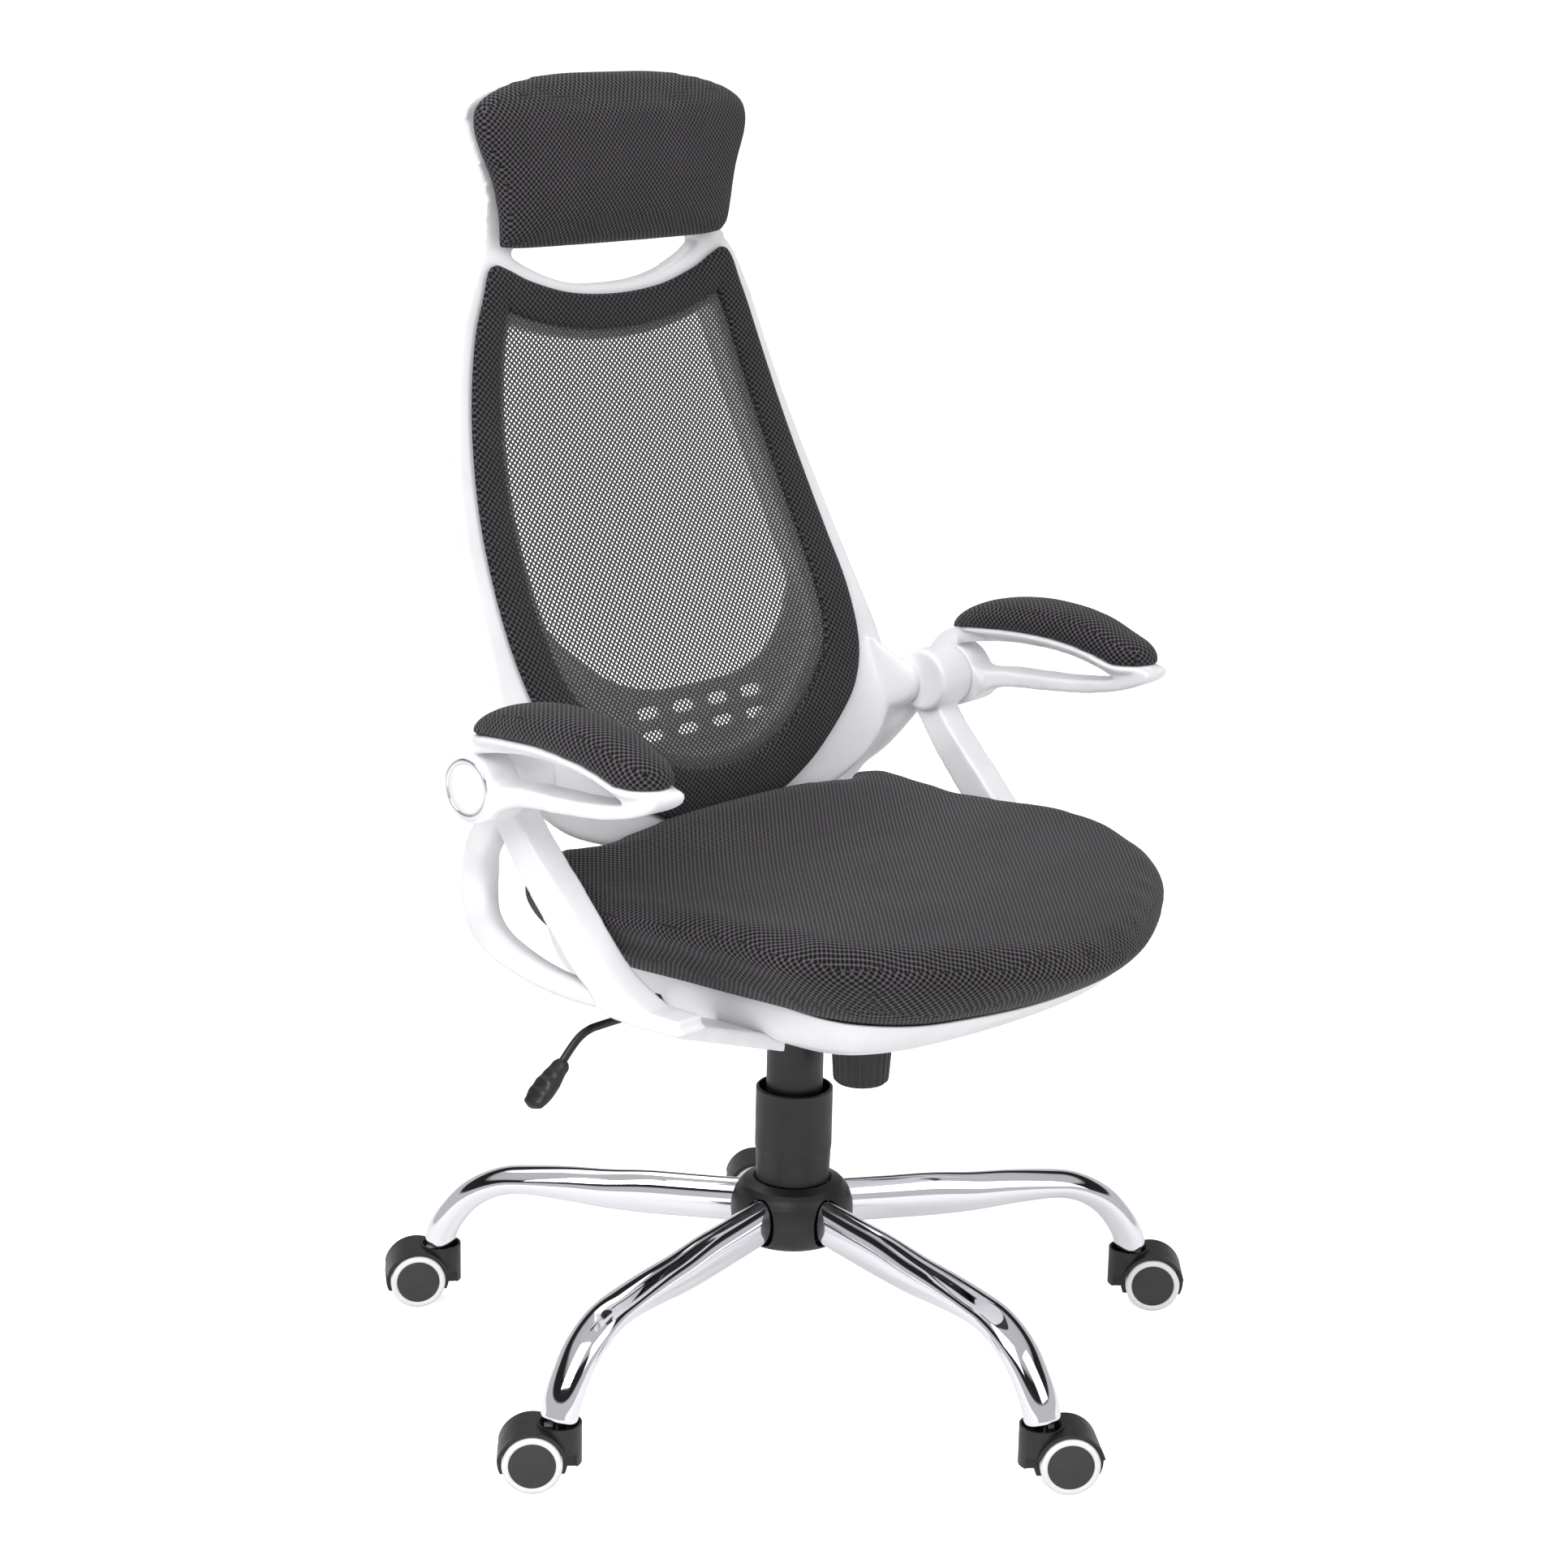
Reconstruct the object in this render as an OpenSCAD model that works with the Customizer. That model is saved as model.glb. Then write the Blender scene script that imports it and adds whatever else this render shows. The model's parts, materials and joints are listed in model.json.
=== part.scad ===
// High-back swivel chair with a mesh back, flip-up armrests and a five-leg caster base.
// Units are millimetres, +Z is up, the sitter faces -Y and the sitter's left is +X.
// The origin is on the floor, on the axis of the column.

/* [Casters] */
// Outer diameter of each caster wheel
wheel_d = 50; // [48:1:51]
// Diameter of the dark wheel core inside the pale tread ring
wheel_core_d = 39; // [34:1:42]
// Distance from the stem axis back to the wheel axle
caster_trail = 22; // [20:1:24]
// Distance from the caster's middle to the outer face of each wheel
wheel_face = 22.7; // [21.5:0.1:24]
// Height of the rim of the caster's collar above the floor
collar_top_z = 54.6; // [54:0.1:56]

/* [Base] */
// Distance from the column axis to each caster stem
stem_circle_r = 336; // [332:1:340]
// Angle from +X to the first leg
first_leg_angle = 43.5; // [0:0.5:72]
// Wall thickness of the leg tubes
leg_wall = 2; // [1.5:0.5:2.5]
// Widest diameter of the hub's plastic cover
hub_cover_d = 109; // [106:1:114]

/* [Column] */
// Outer diameter of the column's outer tube
gas_tube_d = 50; // [50:0.5:51]
// Height of the top of the outer tube
gas_tube_top_z = 328; // [318:1:330]
// Outer diameter of the plastic sleeve round the lower half of the column
lower_cover_d = 68; // [66:1:72]
// Height of the top of the plastic sleeve
lower_cover_top_z = 249; // [240:1:256]

/* [Seat] */
// Half the width of the cushion at its widest
seat_half_w = 254; // [248:1:255]
// Distance from the column axis forward to the cushion's front edge
seat_front = 334; // [328:1:338]
// Height of the seat board's underside
board_z = 383; // [383:1:385]
// Thickness of the seat board
board_t = 10; // [8:1:10]

/* [Arms] */
// Distance from the middle plane to the middle of each armrest
arm_mid_x = 306; // [306:1:309]
// Width of each arm pad
pad_w = 62; // [56:1:64]
// Radius of the hub at the armrest's pivot
pivot_hub_r = 28; // [27:0.5:29]

/* [Back] */
// Width of the double-layer border round the mesh
border_w = 42; // [36:1:46]
// Depth of the back frame's rim
rim_depth = 24; // [20:1:26]

/* [Hidden] */
$fn = 64;
LEGS = [0:4];

eps = 0.01;
fit_gap = 0.05;
skin_gap = 0.3;
far = 400;
white = "#f2f2f4";
dark_fabric = "#3a3638";

// Casters
trail_angles = [136, 141, 135, -43, -50];
axle_z = wheel_d / 2;
axle_r = 3;
stem_r = 5.5;
stem_top_z = 75;
hood_web = 10.4;
hood_gap = 1.4;
hood_shell = 2.6;
collar_r = 18.5;
collar_wall = 2;
collar_floor_z = 45;
wheel_inner = 11.2;

// Base: stations [radius, height, tall, wide] down the middle of a leg tube
leg_stations = [
    [24, 136, 40, 28], [90, 133, 40, 29], [134, 131, 40, 30], [173, 129, 36, 32],
    [212, 129, 31, 34], [250, 127.5, 25.5, 36], [272, 124, 25, 36], [291, 116, 25, 36],
    [308, 104, 25.5, 35], [322, 88, 26, 34], [332, 72, 27, 33.5], [337, 57, 28, 33]
];
leg_sides = 20;
leg_end_t = 6;
socket_r = 30;
socket_z = [110, 162];
sleeve_r = 7.5;
sleeve_z = [56, 76.5];
hub_mid_z = 135;
hub_half_h = 29;
hub_end_r = 35;
hub_wall = 3;

// Column
gas_tube_r = gas_tube_d / 2;
gas_bore_r = 22;
gas_bottom_z = 104;
gas_floor_t = 4;
gas_bush_h = 30;
cylinder_r = 14;
cylinder_bore_r = 11.5;
cylinder_z = [128, 354];
rod_r = 5;
piston_r = 11.4;
piston_z = [250, 262];
thrust_r = 15;
cover_wall = 2.5;
cover_bottom_z = 164.3;

// Mechanism
axle_y = -30;
tilt_axle_z = 352;
tilt_axle_r = 6;
housing_half_w = 48;
housing_wall = 3;
housing_y = [-106, 32];
housing_z = [340, 361];
taper_socket_r = 20;
plate_t = 3;
plate_z = board_z - plate_t;
plate_half_w = 72;
plate_y = [-122, 54];
flange_x = housing_half_w + 1;
flange_t = 3.5;
bolt_y = -76;
bolt_r = 5;
ball_r = 9;
ball_z = plate_z + 5;
knob_z = [272, 316];
knob_top_r = 27;
knob_bottom_r = 24.5;
knob_ribs = 24;
washer_z = 300;
washer_t = 3;
spring_r = 14;
spring_wire_r = 2.2;
spring_turns = 5;
lever_y = -4;
lever_z = 363.5;
lever_r = 3.5;
bush_x = [-66, -53.2];
seat_bolt_spots = [[-58, -108], [58, -108], [-58, 42], [58, 42]];

// Seat
seat_mid_y = -95;
// Right half of the cushion, front to back: where it is widest, and the lower edge where it
// meets the shell, as [x, y, z]
seat_half = [
    [0, -334, 434], [50, -324, 434], [98, -304, 436], [150, -275, 438], [199, -240, 442],
    [231, -195, 449], [246, -135, 455], [254, -60, 455], [252, 20, 450], [247, 62, 450],
    [233, 98, 452], [212, 112, 455], [189, 104, 457], [166, 86, 462], [100, 82, 472], [0, 80, 476]
];
edge_half = [
    [0, -289, 398], [50, -285, 398], [99, -273, 398], [144, -255, 398], [176, -226, 399],
    [190, -192, 400], [192, -135, 402], [194, -60, 402], [200, 20, 401], [209, 64, 405],
    [214, 97, 418], [200, 107, 428], [180, 98, 431], [158, 84, 434], [100, 78, 435], [0, 76, 435]
];
// Heights [y, z] of the cushion's top at its sides and along its middle
edge_top = [
    [-340, 442], [-300, 449], [-250, 458], [-200, 468], [-110, 476], [-40, 471], [20, 465], [130, 465]
];
middle_top = [
    [-340, 444], [-300, 453], [-250, 460], [-200, 464], [-100, 464], [0, 470], [50, 490], [84, 506],
    [130, 506]
];
shell_wall = 3;
board_scale = 0.64;
shell_bottom_z = 350;
shell_open = [[-64, -128], [64, 90]];

// Arms: bracket outline and openings are [y, z] points in a side view
pivot_y = 74;
pivot_z = 564;
bracket_x = [258, 286];
ear_x = [250, 292];
splay = 3;
armrest_x = [arm_mid_x - 13, arm_mid_x + 13];
hub_x = [292.3, 322];
pin_r = 6;
pin_head_r = 11;
screw_y = 93;
screw_z = [549, 572];
ring_out_r = 25;
ring_in_r = 21;

// Back: tables of [z, y] for the front surface and [z, half width] for the frame
back_profile = [
    [460, 88], [520, 91], [560, 99], [600, 115], [650, 138], [700, 163], [750, 185],
    [800, 203], [850, 217], [900, 227], [950, 233], [1000, 244], [1050, 250], [1110, 247]
];
head_half_w = [
    [925, 171], [945, 164], [970, 150], [995, 141], [1020, 137], [1050, 146], [1080, 158],
    [1092, 152], [1101, 132], [1106, 100]
];
// Right half of the mesh outline [x, z, frame width outside the mesh], bottom centre to top centre
mesh_half = [
    [0, 478, 24], [60, 484, 26], [110, 506, 38], [155, 538, 54], [188, 568, 55], [208, 602, 36],
    [215, 650, 21], [212, 700, 18], [206, 750, 16], [197, 800, 14], [186, 850, 12.5],
    [172, 900, 12], [160, 930, 11], [151, 952, 8], [140, 958, 6], [125, 953, 6], [100, 942, 7],
    [55, 930, 6], [0, 926, 5]
];

function unit(v) = v / max(norm(v), 1e-6);
function spline(a, b, c, d, t) =
    0.5 * (2 * b + (c - a) * t + (2 * a - 5 * b + 4 * c - d) * t * t
    + (3 * b - a - 3 * c + d) * t * t * t);
function smooth_loop(pts, steps) = let (m = len(pts)) [
    for (i = [0:m - 1], k = [0:steps - 1])
        spline(pts[(i + m - 1) % m], pts[i], pts[(i + 1) % m], pts[(i + 2) % m], k / steps)
];
function mirrored_loop(half) =
    concat(half, [for (i = [len(half) - 2:-1:1]) [-half[i][0], for (j = [1:len(half[i]) - 1]) half[i][j]]]);
function flat_point(p) = [p[0], p[1]];
function outward(path, i) = let (
        m = len(path),
        t = unit(flat_point(path[(i + 1) % m]) - flat_point(path[(i + m - 1) % m]))
    ) [t[1], -t[0]];
function offset_loop(path, d) =
    [for (i = [0:len(path) - 1]) flat_point(path[i]) + d * outward(path, i)];
function ellipse(rx, ry, n) = [for (i = [0:n - 1]) [rx * cos(360 * i / n), ry * sin(360 * i / n)]];
function power(v, p) = sign(v) * pow(abs(v), p);

// A closed solid through rings of equal point counts, with flat caps
module skin(rings) {
    n = len(rings[0]);
    m = len(rings);
    sides = [for (j = [0:m - 2], i = [0:n - 1]) let (a = j * n + i, b = j * n + (i + 1) % n)
        each [[a, a + n, b], [b, a + n, b + n]]];
    caps = [[for (i = [0:n - 1]) i], [for (i = [n - 1:-1:0]) (m - 1) * n + i]];
    polyhedron([for (r = rings) each r], concat(sides, caps));
}

// A closed ring-shaped solid: the last section joins the first
module skin_ring(rings) {
    n = len(rings[0]);
    m = len(rings);
    sides = [for (j = [0:m - 1], i = [0:n - 1])
        let (a = j * n + i, b = j * n + (i + 1) % n, k = ((j + 1) % m) * n - j * n)
        each [[a, a + k, b], [b, a + k, b + k]]];
    polyhedron([for (r = rings) each r], sides);
}

// A side-view outline [y, z] given a thickness from x0 to x1
module side_plate(x0, x1) {
    translate([x0, 0, 0]) rotate([90, 0, 90]) linear_extrude(x1 - x0) children();
}

// A front-view outline [x, z] given a depth from y0 to y1
module front_plate(y0, y1) {
    translate([0, y1, 0]) rotate([90, 0, 0]) linear_extrude(y1 - y0) children();
}

module rod_x(x0, x1, r) {
    translate([x0, 0, 0]) rotate([0, 90, 0]) cylinder(h = x1 - x0, r = r);
}

module box_between(a, b) {
    translate(a) cube(b - a);
}

// The two hands: "r" parts are mirror images of "l" parts
module hand(side) {
    if (side == "l") children();
    if (side == "r") mirror([1, 0, 0]) children();
}

module at_leg(k) {
    rotate([0, 0, first_leg_angle + 72 * k]) children();
}

module at_caster(k) {
    at_leg(k) translate([stem_circle_r, 0, 0])
        rotate([0, 0, trail_angles[k] - first_leg_angle - 72 * k]) children();
}

module at_axle() {
    translate([caster_trail, 0, axle_z]) rotate([-90, 0, 0]) children();
}

// ---- casters ----

module caster_hood(k) {
    color("#1d1d1f") at_caster(k) difference() {
        union() {
            translate([0, 0, 20]) cylinder(h = collar_top_z - 20, r = collar_r);
            at_axle() translate([0, 0, -wheel_face + 1])
                cylinder(h = 2 * wheel_face - 2, r = axle_z + hood_gap + hood_shell);
        }
        translate([0, 0, collar_floor_z])
            cylinder(h = far, r = collar_r - collar_wall);
        translate([0, 0, -far]) cylinder(h = 2 * far, r = stem_r);
        for (s = [-1, 1]) at_axle() translate([0, 0, s > 0 ? hood_web : -hood_web - far])
            cylinder(h = far, r = axle_z + hood_gap);
        at_axle() cylinder(h = far, r = axle_r, center = true);
        // the hood stops above the floor and is cut away below the axle
        box_between([-far, -far, -far], [far, far, 13]);
        for (s = [-1, 1]) translate([-14, s > 0 ? hood_web : -hood_web - far, 0])
            cube([far, far, axle_z + 6]);
    }
}

module caster_pins(k) {
    color("silver") at_caster(k) {
        translate([0, 0, 22]) difference() {
            cylinder(h = stem_top_z - 22, r = stem_r);
            translate([caster_trail, 0, axle_z - 22]) rotate([90, 0, 0])
                cylinder(h = far, r = axle_z + hood_gap, center = true, $fn = 6);
        }
        at_axle() cylinder(h = 2 * wheel_face - 3, r = axle_r, center = true);
    }
}

module caster_wheel(k, side) {
    width = wheel_face - wheel_inner;
    at_caster(k) at_axle() mirror([0, 0, side == "a" ? 0 : 1]) translate([0, 0, wheel_inner]) {
        color("#2b2b2d") difference() {
            cylinder(h = width, r = wheel_core_d / 2);
            translate([0, 0, -1]) cylinder(h = width, r = axle_r + fit_gap);
        }
        color("#e4e4e2") rotate_extrude() polygon([
            [wheel_core_d / 2, 0], [axle_z - 2, 0], [axle_z - 0.6, 0.8], [axle_z, 2.5],
            [axle_z, width - 3], [axle_z - 0.8, width - 1], [axle_z - 2.4, width],
            [wheel_core_d / 2, width]
        ]);
    }
}

// ---- base ----

function leg_frame(i) = let (
        last = len(leg_stations) - 1,
        a = leg_stations[max(i - 1, 0)],
        b = leg_stations[min(i + 1, last)]
    ) unit([b[0] - a[0], b[1] - a[1]]);

function leg_ring(i, inset) = let (s = leg_stations[i], t = leg_frame(i)) [
    for (p = ellipse(s[3] / 2 - inset, s[2] / 2 - inset, leg_sides))
        [s[0] - t[1] * p[1], p[0], s[1] + t[0] * p[1]]
];

module base_legs() {
    last = len(leg_stations) - 1;
    color("#d8d8dc") for (k = LEGS) at_leg(k) difference() {
        skin([for (i = [0:last]) leg_ring(i, 0)]);
        skin([for (i = [0:last - 1]) leg_ring(i, leg_wall)]);
        cylinder(h = far, r = socket_r);
        translate([stem_circle_r, 0, 0]) cylinder(h = sleeve_z[1], r = sleeve_r);
    }
}

module leg_sockets() {
    color("#9a9a9e") for (k = LEGS) at_leg(k) translate([stem_circle_r, 0, 0]) difference() {
        translate([0, 0, sleeve_z[0]]) cylinder(h = sleeve_z[1] - sleeve_z[0], r = sleeve_r);
        translate([0, 0, sleeve_z[0] - 1])
            cylinder(h = stem_top_z - sleeve_z[0] + 1.5, r = stem_r + fit_gap);
    }
}

module hub_socket() {
    color("#9a9a9e") difference() {
        translate([0, 0, socket_z[0]]) cylinder(h = socket_z[1] - socket_z[0], r = socket_r);
        cylinder(h = far, r = gas_tube_r);
    }
}

function hub_r(t, inset) = hub_end_r - inset + (hub_cover_d / 2 - hub_end_r) * sqrt(max(0, 1 - t * t));

module hub_cover() {
    steps = [for (i = [0:16]) -1 + i / 8];
    color("#1c1c1e") difference() {
        rotate_extrude() polygon(concat(
            [for (t = steps) [hub_r(t, 0), hub_mid_z + t * hub_half_h]],
            [
                for (i = [16:-1:0])
                    [hub_r(steps[i], hub_wall), hub_mid_z + steps[i] * (hub_half_h - hub_wall)]
            ],
            [[gas_tube_r + 2, hub_mid_z - hub_half_h + hub_wall], [gas_tube_r + 2, hub_mid_z - hub_half_h]]
        ));
        for (k = LEGS) at_leg(k) translate([socket_r + 2, 0, hub_mid_z - 1]) rotate([90, 0, 90])
            linear_extrude(far)
                polygon(ellipse(leg_stations[1][3] / 2 + 1.6, leg_stations[1][2] / 2 + 2.4, 32));
    }
}

// ---- column ----

module gas_tube() {
    color("#202022") difference() {
        translate([0, 0, gas_bottom_z]) cylinder(h = gas_tube_top_z - gas_bottom_z, r = gas_tube_r);
        translate([0, 0, gas_bottom_z + gas_floor_t])
            cylinder(h = gas_tube_top_z - gas_bush_h - gas_bottom_z - gas_floor_t, r = gas_bore_r);
        translate([0, 0, gas_tube_top_z - gas_bush_h - 1]) cylinder(h = far, r = cylinder_r + fit_gap);
        translate([0, 0, gas_bottom_z - 1]) cylinder(h = far, r = rod_r + fit_gap);
    }
}

module gas_rod() {
    color("#c9c9cc") {
        rotate_extrude() polygon([
            [0, gas_bottom_z - 3], [7, gas_bottom_z - 3], [7, gas_bottom_z - 0.3],
            [rod_r, gas_bottom_z - 0.3], [rod_r, gas_bottom_z + gas_floor_t + 0.3],
            [thrust_r, gas_bottom_z + gas_floor_t + 0.3], [thrust_r, gas_bottom_z + 14],
            [rod_r, gas_bottom_z + 14], [rod_r, piston_z[0]], [piston_r, piston_z[0]],
            [piston_r, piston_z[1]], [0, piston_z[1]]
        ]);
    }
}

module gas_cylinder() {
    color("#303033") difference() {
        translate([0, 0, cylinder_z[0]]) cylinder(h = cylinder_z[1] - cylinder_z[0], r = cylinder_r);
        translate([0, 0, cylinder_z[0] + 6])
            cylinder(h = cylinder_z[1] - cylinder_z[0] - 14, r = cylinder_bore_r);
        translate([0, 0, cylinder_z[0] - 1]) cylinder(h = 20, r = rod_r + fit_gap);
    }
}

module lower_cover() {
    r = lower_cover_d / 2;
    color("#1c1c1e") rotate_extrude() polygon([
        [gas_tube_r, cover_bottom_z], [r - 1.6, cover_bottom_z], [r - 0.6, cover_bottom_z + 26],
        [r, cover_bottom_z + 30], [r, lower_cover_top_z - 1], [r - 1, lower_cover_top_z],
        [r - cover_wall, lower_cover_top_z], [r - cover_wall, cover_bottom_z + 6],
        [gas_tube_r, cover_bottom_z + 6]
    ]);
}

// ---- mechanism ----

module mech_housing() {
    y0 = housing_y[0];
    y1 = housing_y[1];
    w = housing_half_w;
    color("#262628") difference() {
        union() {
            difference() {
                box_between([-w, y0, housing_z[0]], [w, y1, housing_z[1]]);
                box_between([-w + housing_wall, y0 + housing_wall, housing_z[0] + housing_wall],
                    [w - housing_wall, y1 - housing_wall, far]);
            }
            translate([0, 0, gas_tube_top_z + 4])
                cylinder(h = housing_z[1] - gas_tube_top_z - 4, r = taper_socket_r);
        }
        cylinder(h = far, r = cylinder_r);
        translate([0, bolt_y, 0]) cylinder(h = far, r = bolt_r + 4);
        translate([0, axle_y, tilt_axle_z]) rod_x(-far, far, tilt_axle_r);
        // clearance for the lever's inner end
        box_between([-far, lever_y - 8, lever_z - 9], [0, lever_y + 8, far]);
    }
}

module tilt_axle() {
    end_x = flange_x + flange_t + 0.3;
    color("silver") translate([0, axle_y, tilt_axle_z]) {
        rod_x(-end_x - 4, end_x + 4, tilt_axle_r);
        for (s = [0, 1]) mirror([s, 0, 0]) translate([end_x, 0, 0]) rod_x(0, 4, tilt_axle_r + 3);
    }
}

module mech_plate() {
    flange = [
        [axle_y - 34, plate_z + eps], [axle_y + 14, plate_z + eps], [axle_y + 12, tilt_axle_z - 8],
        [axle_y + 5, tilt_axle_z - 11], [axle_y - 5, tilt_axle_z - 11], [axle_y - 12, tilt_axle_z - 8]
    ];
    color("#2c2c2f") difference() {
        union() {
            box_between([-plate_half_w, plate_y[0], plate_z], [plate_half_w, plate_y[1], board_z]);
            for (s = [0, 1]) mirror([s, 0, 0])
                side_plate(flange_x, flange_x + flange_t) polygon(flange);
        }
        translate([0, axle_y, tilt_axle_z]) rod_x(-far, far, tilt_axle_r + fit_gap);
        translate([0, bolt_y, ball_z]) sphere(r = ball_r + fit_gap);
        for (p = seat_bolt_spots) translate([p[0], p[1], 0]) cylinder(h = far, r = 3);
    }
}

module tension_bolt() {
    color("silver") translate([0, bolt_y, 0]) {
        translate([0, 0, knob_z[0] + 5]) cylinder(h = ball_z - knob_z[0] - 5, r = bolt_r);
        intersection() {
            translate([0, 0, ball_z]) sphere(r = ball_r);
            translate([0, 0, ball_z - ball_r]) cylinder(h = ball_r + 4, r = ball_r);
        }
    }
}

module spring_washer() {
    color("#8a8a8e") translate([0, bolt_y, washer_z]) difference() {
        cylinder(h = washer_t, r = spring_r + 4);
        translate([0, 0, -1]) cylinder(h = far, r = bolt_r + fit_gap);
    }
}

module tension_knob() {
    h = knob_z[1] - knob_z[0];
    color("#1a1a1c") translate([0, bolt_y, knob_z[0]]) difference() {
        union() {
            cylinder(h = h, r1 = knob_bottom_r - 1.2, r2 = knob_top_r - 1.2);
            translate([0, 0, 1.5]) for (i = [0:knob_ribs - 1]) rotate([0, 0, 360 * i / knob_ribs])
                translate([knob_bottom_r - 3, -1.1, 0]) rotate([0, 3, 0]) cube([3.2, 2.2, h - 2]);
        }
        translate([0, 0, washer_z - knob_z[0] - 0.3]) cylinder(h = far, r = spring_r + 5);
        translate([0, 0, 5 - fit_gap]) cylinder(h = far, r = bolt_r + fit_gap);
    }
}

function spring_ring(i, steps) = let (
        a = 360 * spring_turns * i / steps,
        z0 = washer_z + washer_t + spring_wire_r + 0.2,
        z1 = housing_z[0] - spring_wire_r - 0.2,
        z = z0 + (z1 - z0) * i / steps
    ) [for (q = ellipse(spring_wire_r, spring_wire_r, 6))
        [(spring_r + q[0]) * cos(a), bolt_y + (spring_r + q[0]) * sin(a), z + q[1]]];

module tilt_spring() {
    steps = spring_turns * 14;
    color("#6e6e72") skin([for (i = [0:steps]) spring_ring(i, steps)]);
}

module lever_bush() {
    color("#1c1c1e") difference() {
        box_between([bush_x[0], lever_y - 9, lever_z - 8], [bush_x[1], lever_y + 9, lever_z + 4.2]);
        translate([0, lever_y, lever_z]) rod_x(-far, far, lever_r + 0.8);
    }
}

// The release lever: a rod that runs out sideways and drops to the grip
lever_route = [[-6, 0], [-258, 2], [-272, -1], [-288, -14], [-297, -26]];

module lever_rod() {
    color("#18181a") for (i = [0:len(lever_route) - 2]) {
        a = lever_route[i];
        b = lever_route[i + 1];
        d = b - a;
        translate([a[0], lever_y, lever_z + a[1]]) {
            rotate([0, 90 - atan2(d[1], d[0]), 0]) cylinder(h = norm(d), r = lever_r);
            sphere(r = lever_r + 0.1);
        }
    }
}

module lever_grip() {
    top = [-294, -22];
    mid = [-308, -34];
    low = [-325, -46];
    color("#1a1a1c") difference() {
        hull() {
            translate([top[0], lever_y - 7, lever_z + top[1] - 6]) cube([8, 14, 9]);
            translate([mid[0], lever_y, lever_z + mid[1]]) rotate([90, 0, 0])
                cylinder(h = 22, r = 9, center = true, $fn = 24);
            translate([low[0], lever_y, lever_z + low[1]]) rotate([90, 0, 0])
                cylinder(h = 18, r = 5.5, center = true, $fn = 24);
        }
        translate([-288, lever_y, lever_z - 14]) rotate([0, atan2(-3, -4), 0])
            cylinder(h = 15 + eps, r = lever_r + eps);
    }
}

module seat_bolts() {
    color("silver") for (p = seat_bolt_spots) translate([p[0], p[1], 0]) {
        translate([0, 0, plate_z - 4]) cylinder(h = board_z + 8 - plate_z + 4, r = 3);
        translate([0, 0, plate_z - 4.5]) cylinder(h = 4.5, r = 5.5);
    }
}

// ---- seat ----

function sized(half) =
    [for (p = half) [p[0] * seat_half_w / 254, p[1] * seat_front / 334, p[2]]];
seat_loop = smooth_loop(mirrored_loop(sized(seat_half)), 2);
edge_loop = smooth_loop(mirrored_loop(sized(edge_half)), 2);
SIDES = [0:len(seat_loop) - 1];

function mix(a, b, t) = a + (b - a) * t;

// Point i round the seat, from the lower edge (t = 0) to the widest line (t = 1), scaled by f
// about the seat's middle
function seat_point(i, f, t) = let (p = mix(edge_loop[i], seat_loop[i], t))
    [f * p[0], seat_mid_y + f * (p[1] - seat_mid_y), p[2]];

function seat_top_z(p) =
    mix(lookup(p[1], middle_top), lookup(p[1], edge_top), min(1, pow(p[0] / seat_half_w, 2)));

// The shell's underside: flat in the middle, rising to the front
function shell_z(p) = shell_bottom_z + 0.0011 * pow(max(-120 - p[1], 0), 2);

function flat_ring(f, z) = [for (i = SIDES) let (p = seat_point(i, f, 1)) [p[0], p[1], z]];
function side_ring(f, t, dz) = [for (i = SIDES) seat_point(i, f, t) + [0, 0, dz]];
function top_ring(f, dz) = [for (i = SIDES) let (p = seat_point(i, f, 1)) [p[0], p[1], seat_top_z(p) + dz]];
function shell_ring(f, climb, dz) = [
    for (i = SIDES) let (p = seat_point(i, f, 0))
        [p[0], p[1], mix(min(shell_z(p), p[2]), p[2], climb) + dz]
];

module seat_board() {
    color("#b08d5b") difference() {
        translate([0, 0, board_z]) linear_extrude(board_t)
            polygon([for (p = flat_ring(board_scale, 0)) flat_point(p)]);
        translate([0, bolt_y, 0]) cylinder(h = far * 2, r = 12);
        for (p = seat_bolt_spots) translate([p[0], p[1], 0]) cylinder(h = board_z + 8.2, r = 3);
    }
}

module seat_cushion() {
    top = board_z + board_t + 0.3;
    color(dark_fabric) skin([
        flat_ring(0.3, top), flat_ring(0.66, top), side_ring(0.93, 0, -3), side_ring(0.975, 0, 2.5),
        side_ring(0.995, 0.25, 1), side_ring(1, 0.6, -1), side_ring(1, 1, 0), top_ring(0.985, -8),
        top_ring(0.96, -3), top_ring(0.91, -0.5), top_ring(0.7, 0), top_ring(0.45, 0), top_ring(0.2, 0)
    ]);
}

// Fractions [of the outline, of the climb from floor to edge] that shape the shell's side
shell_climb = [[0.6, 0], [0.74, 0.05], [0.85, 0.2], [0.93, 0.46], [0.97, 0.76], [0.985, 1]];

module seat_shell_body() {
    m = len(shell_climb) - 1;
    skin(concat(
        [shell_ring(0.3, 0, 0)],
        [for (c = shell_climb) shell_ring(c[0], c[1], 0)],
        [for (i = [m:-1:0]) let (c = shell_climb[i])
            shell_ring(c[0] - 0.014, c[1], i == m ? 0 : shell_wall)],
        [shell_ring(0.3, 0, shell_wall)]
    ));
}

module seat_shell() {
    color(white) difference() {
        union() {
            seat_shell_body();
            for (x = [-110, 110], y = [-170, 44]) translate([x, y, shell_bottom_z + 5])
                cylinder(h = board_z - shell_bottom_z - 5, r = 6);
        }
        box_between([shell_open[0][0], shell_open[0][1], 0], [shell_open[1][0], shell_open[1][1], far]);
        // slot for the lever
        box_between([-far, lever_y - 24, 0], [0, lever_y + 20, lever_z + 20]);
    }
}

// ---- arms ----

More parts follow.
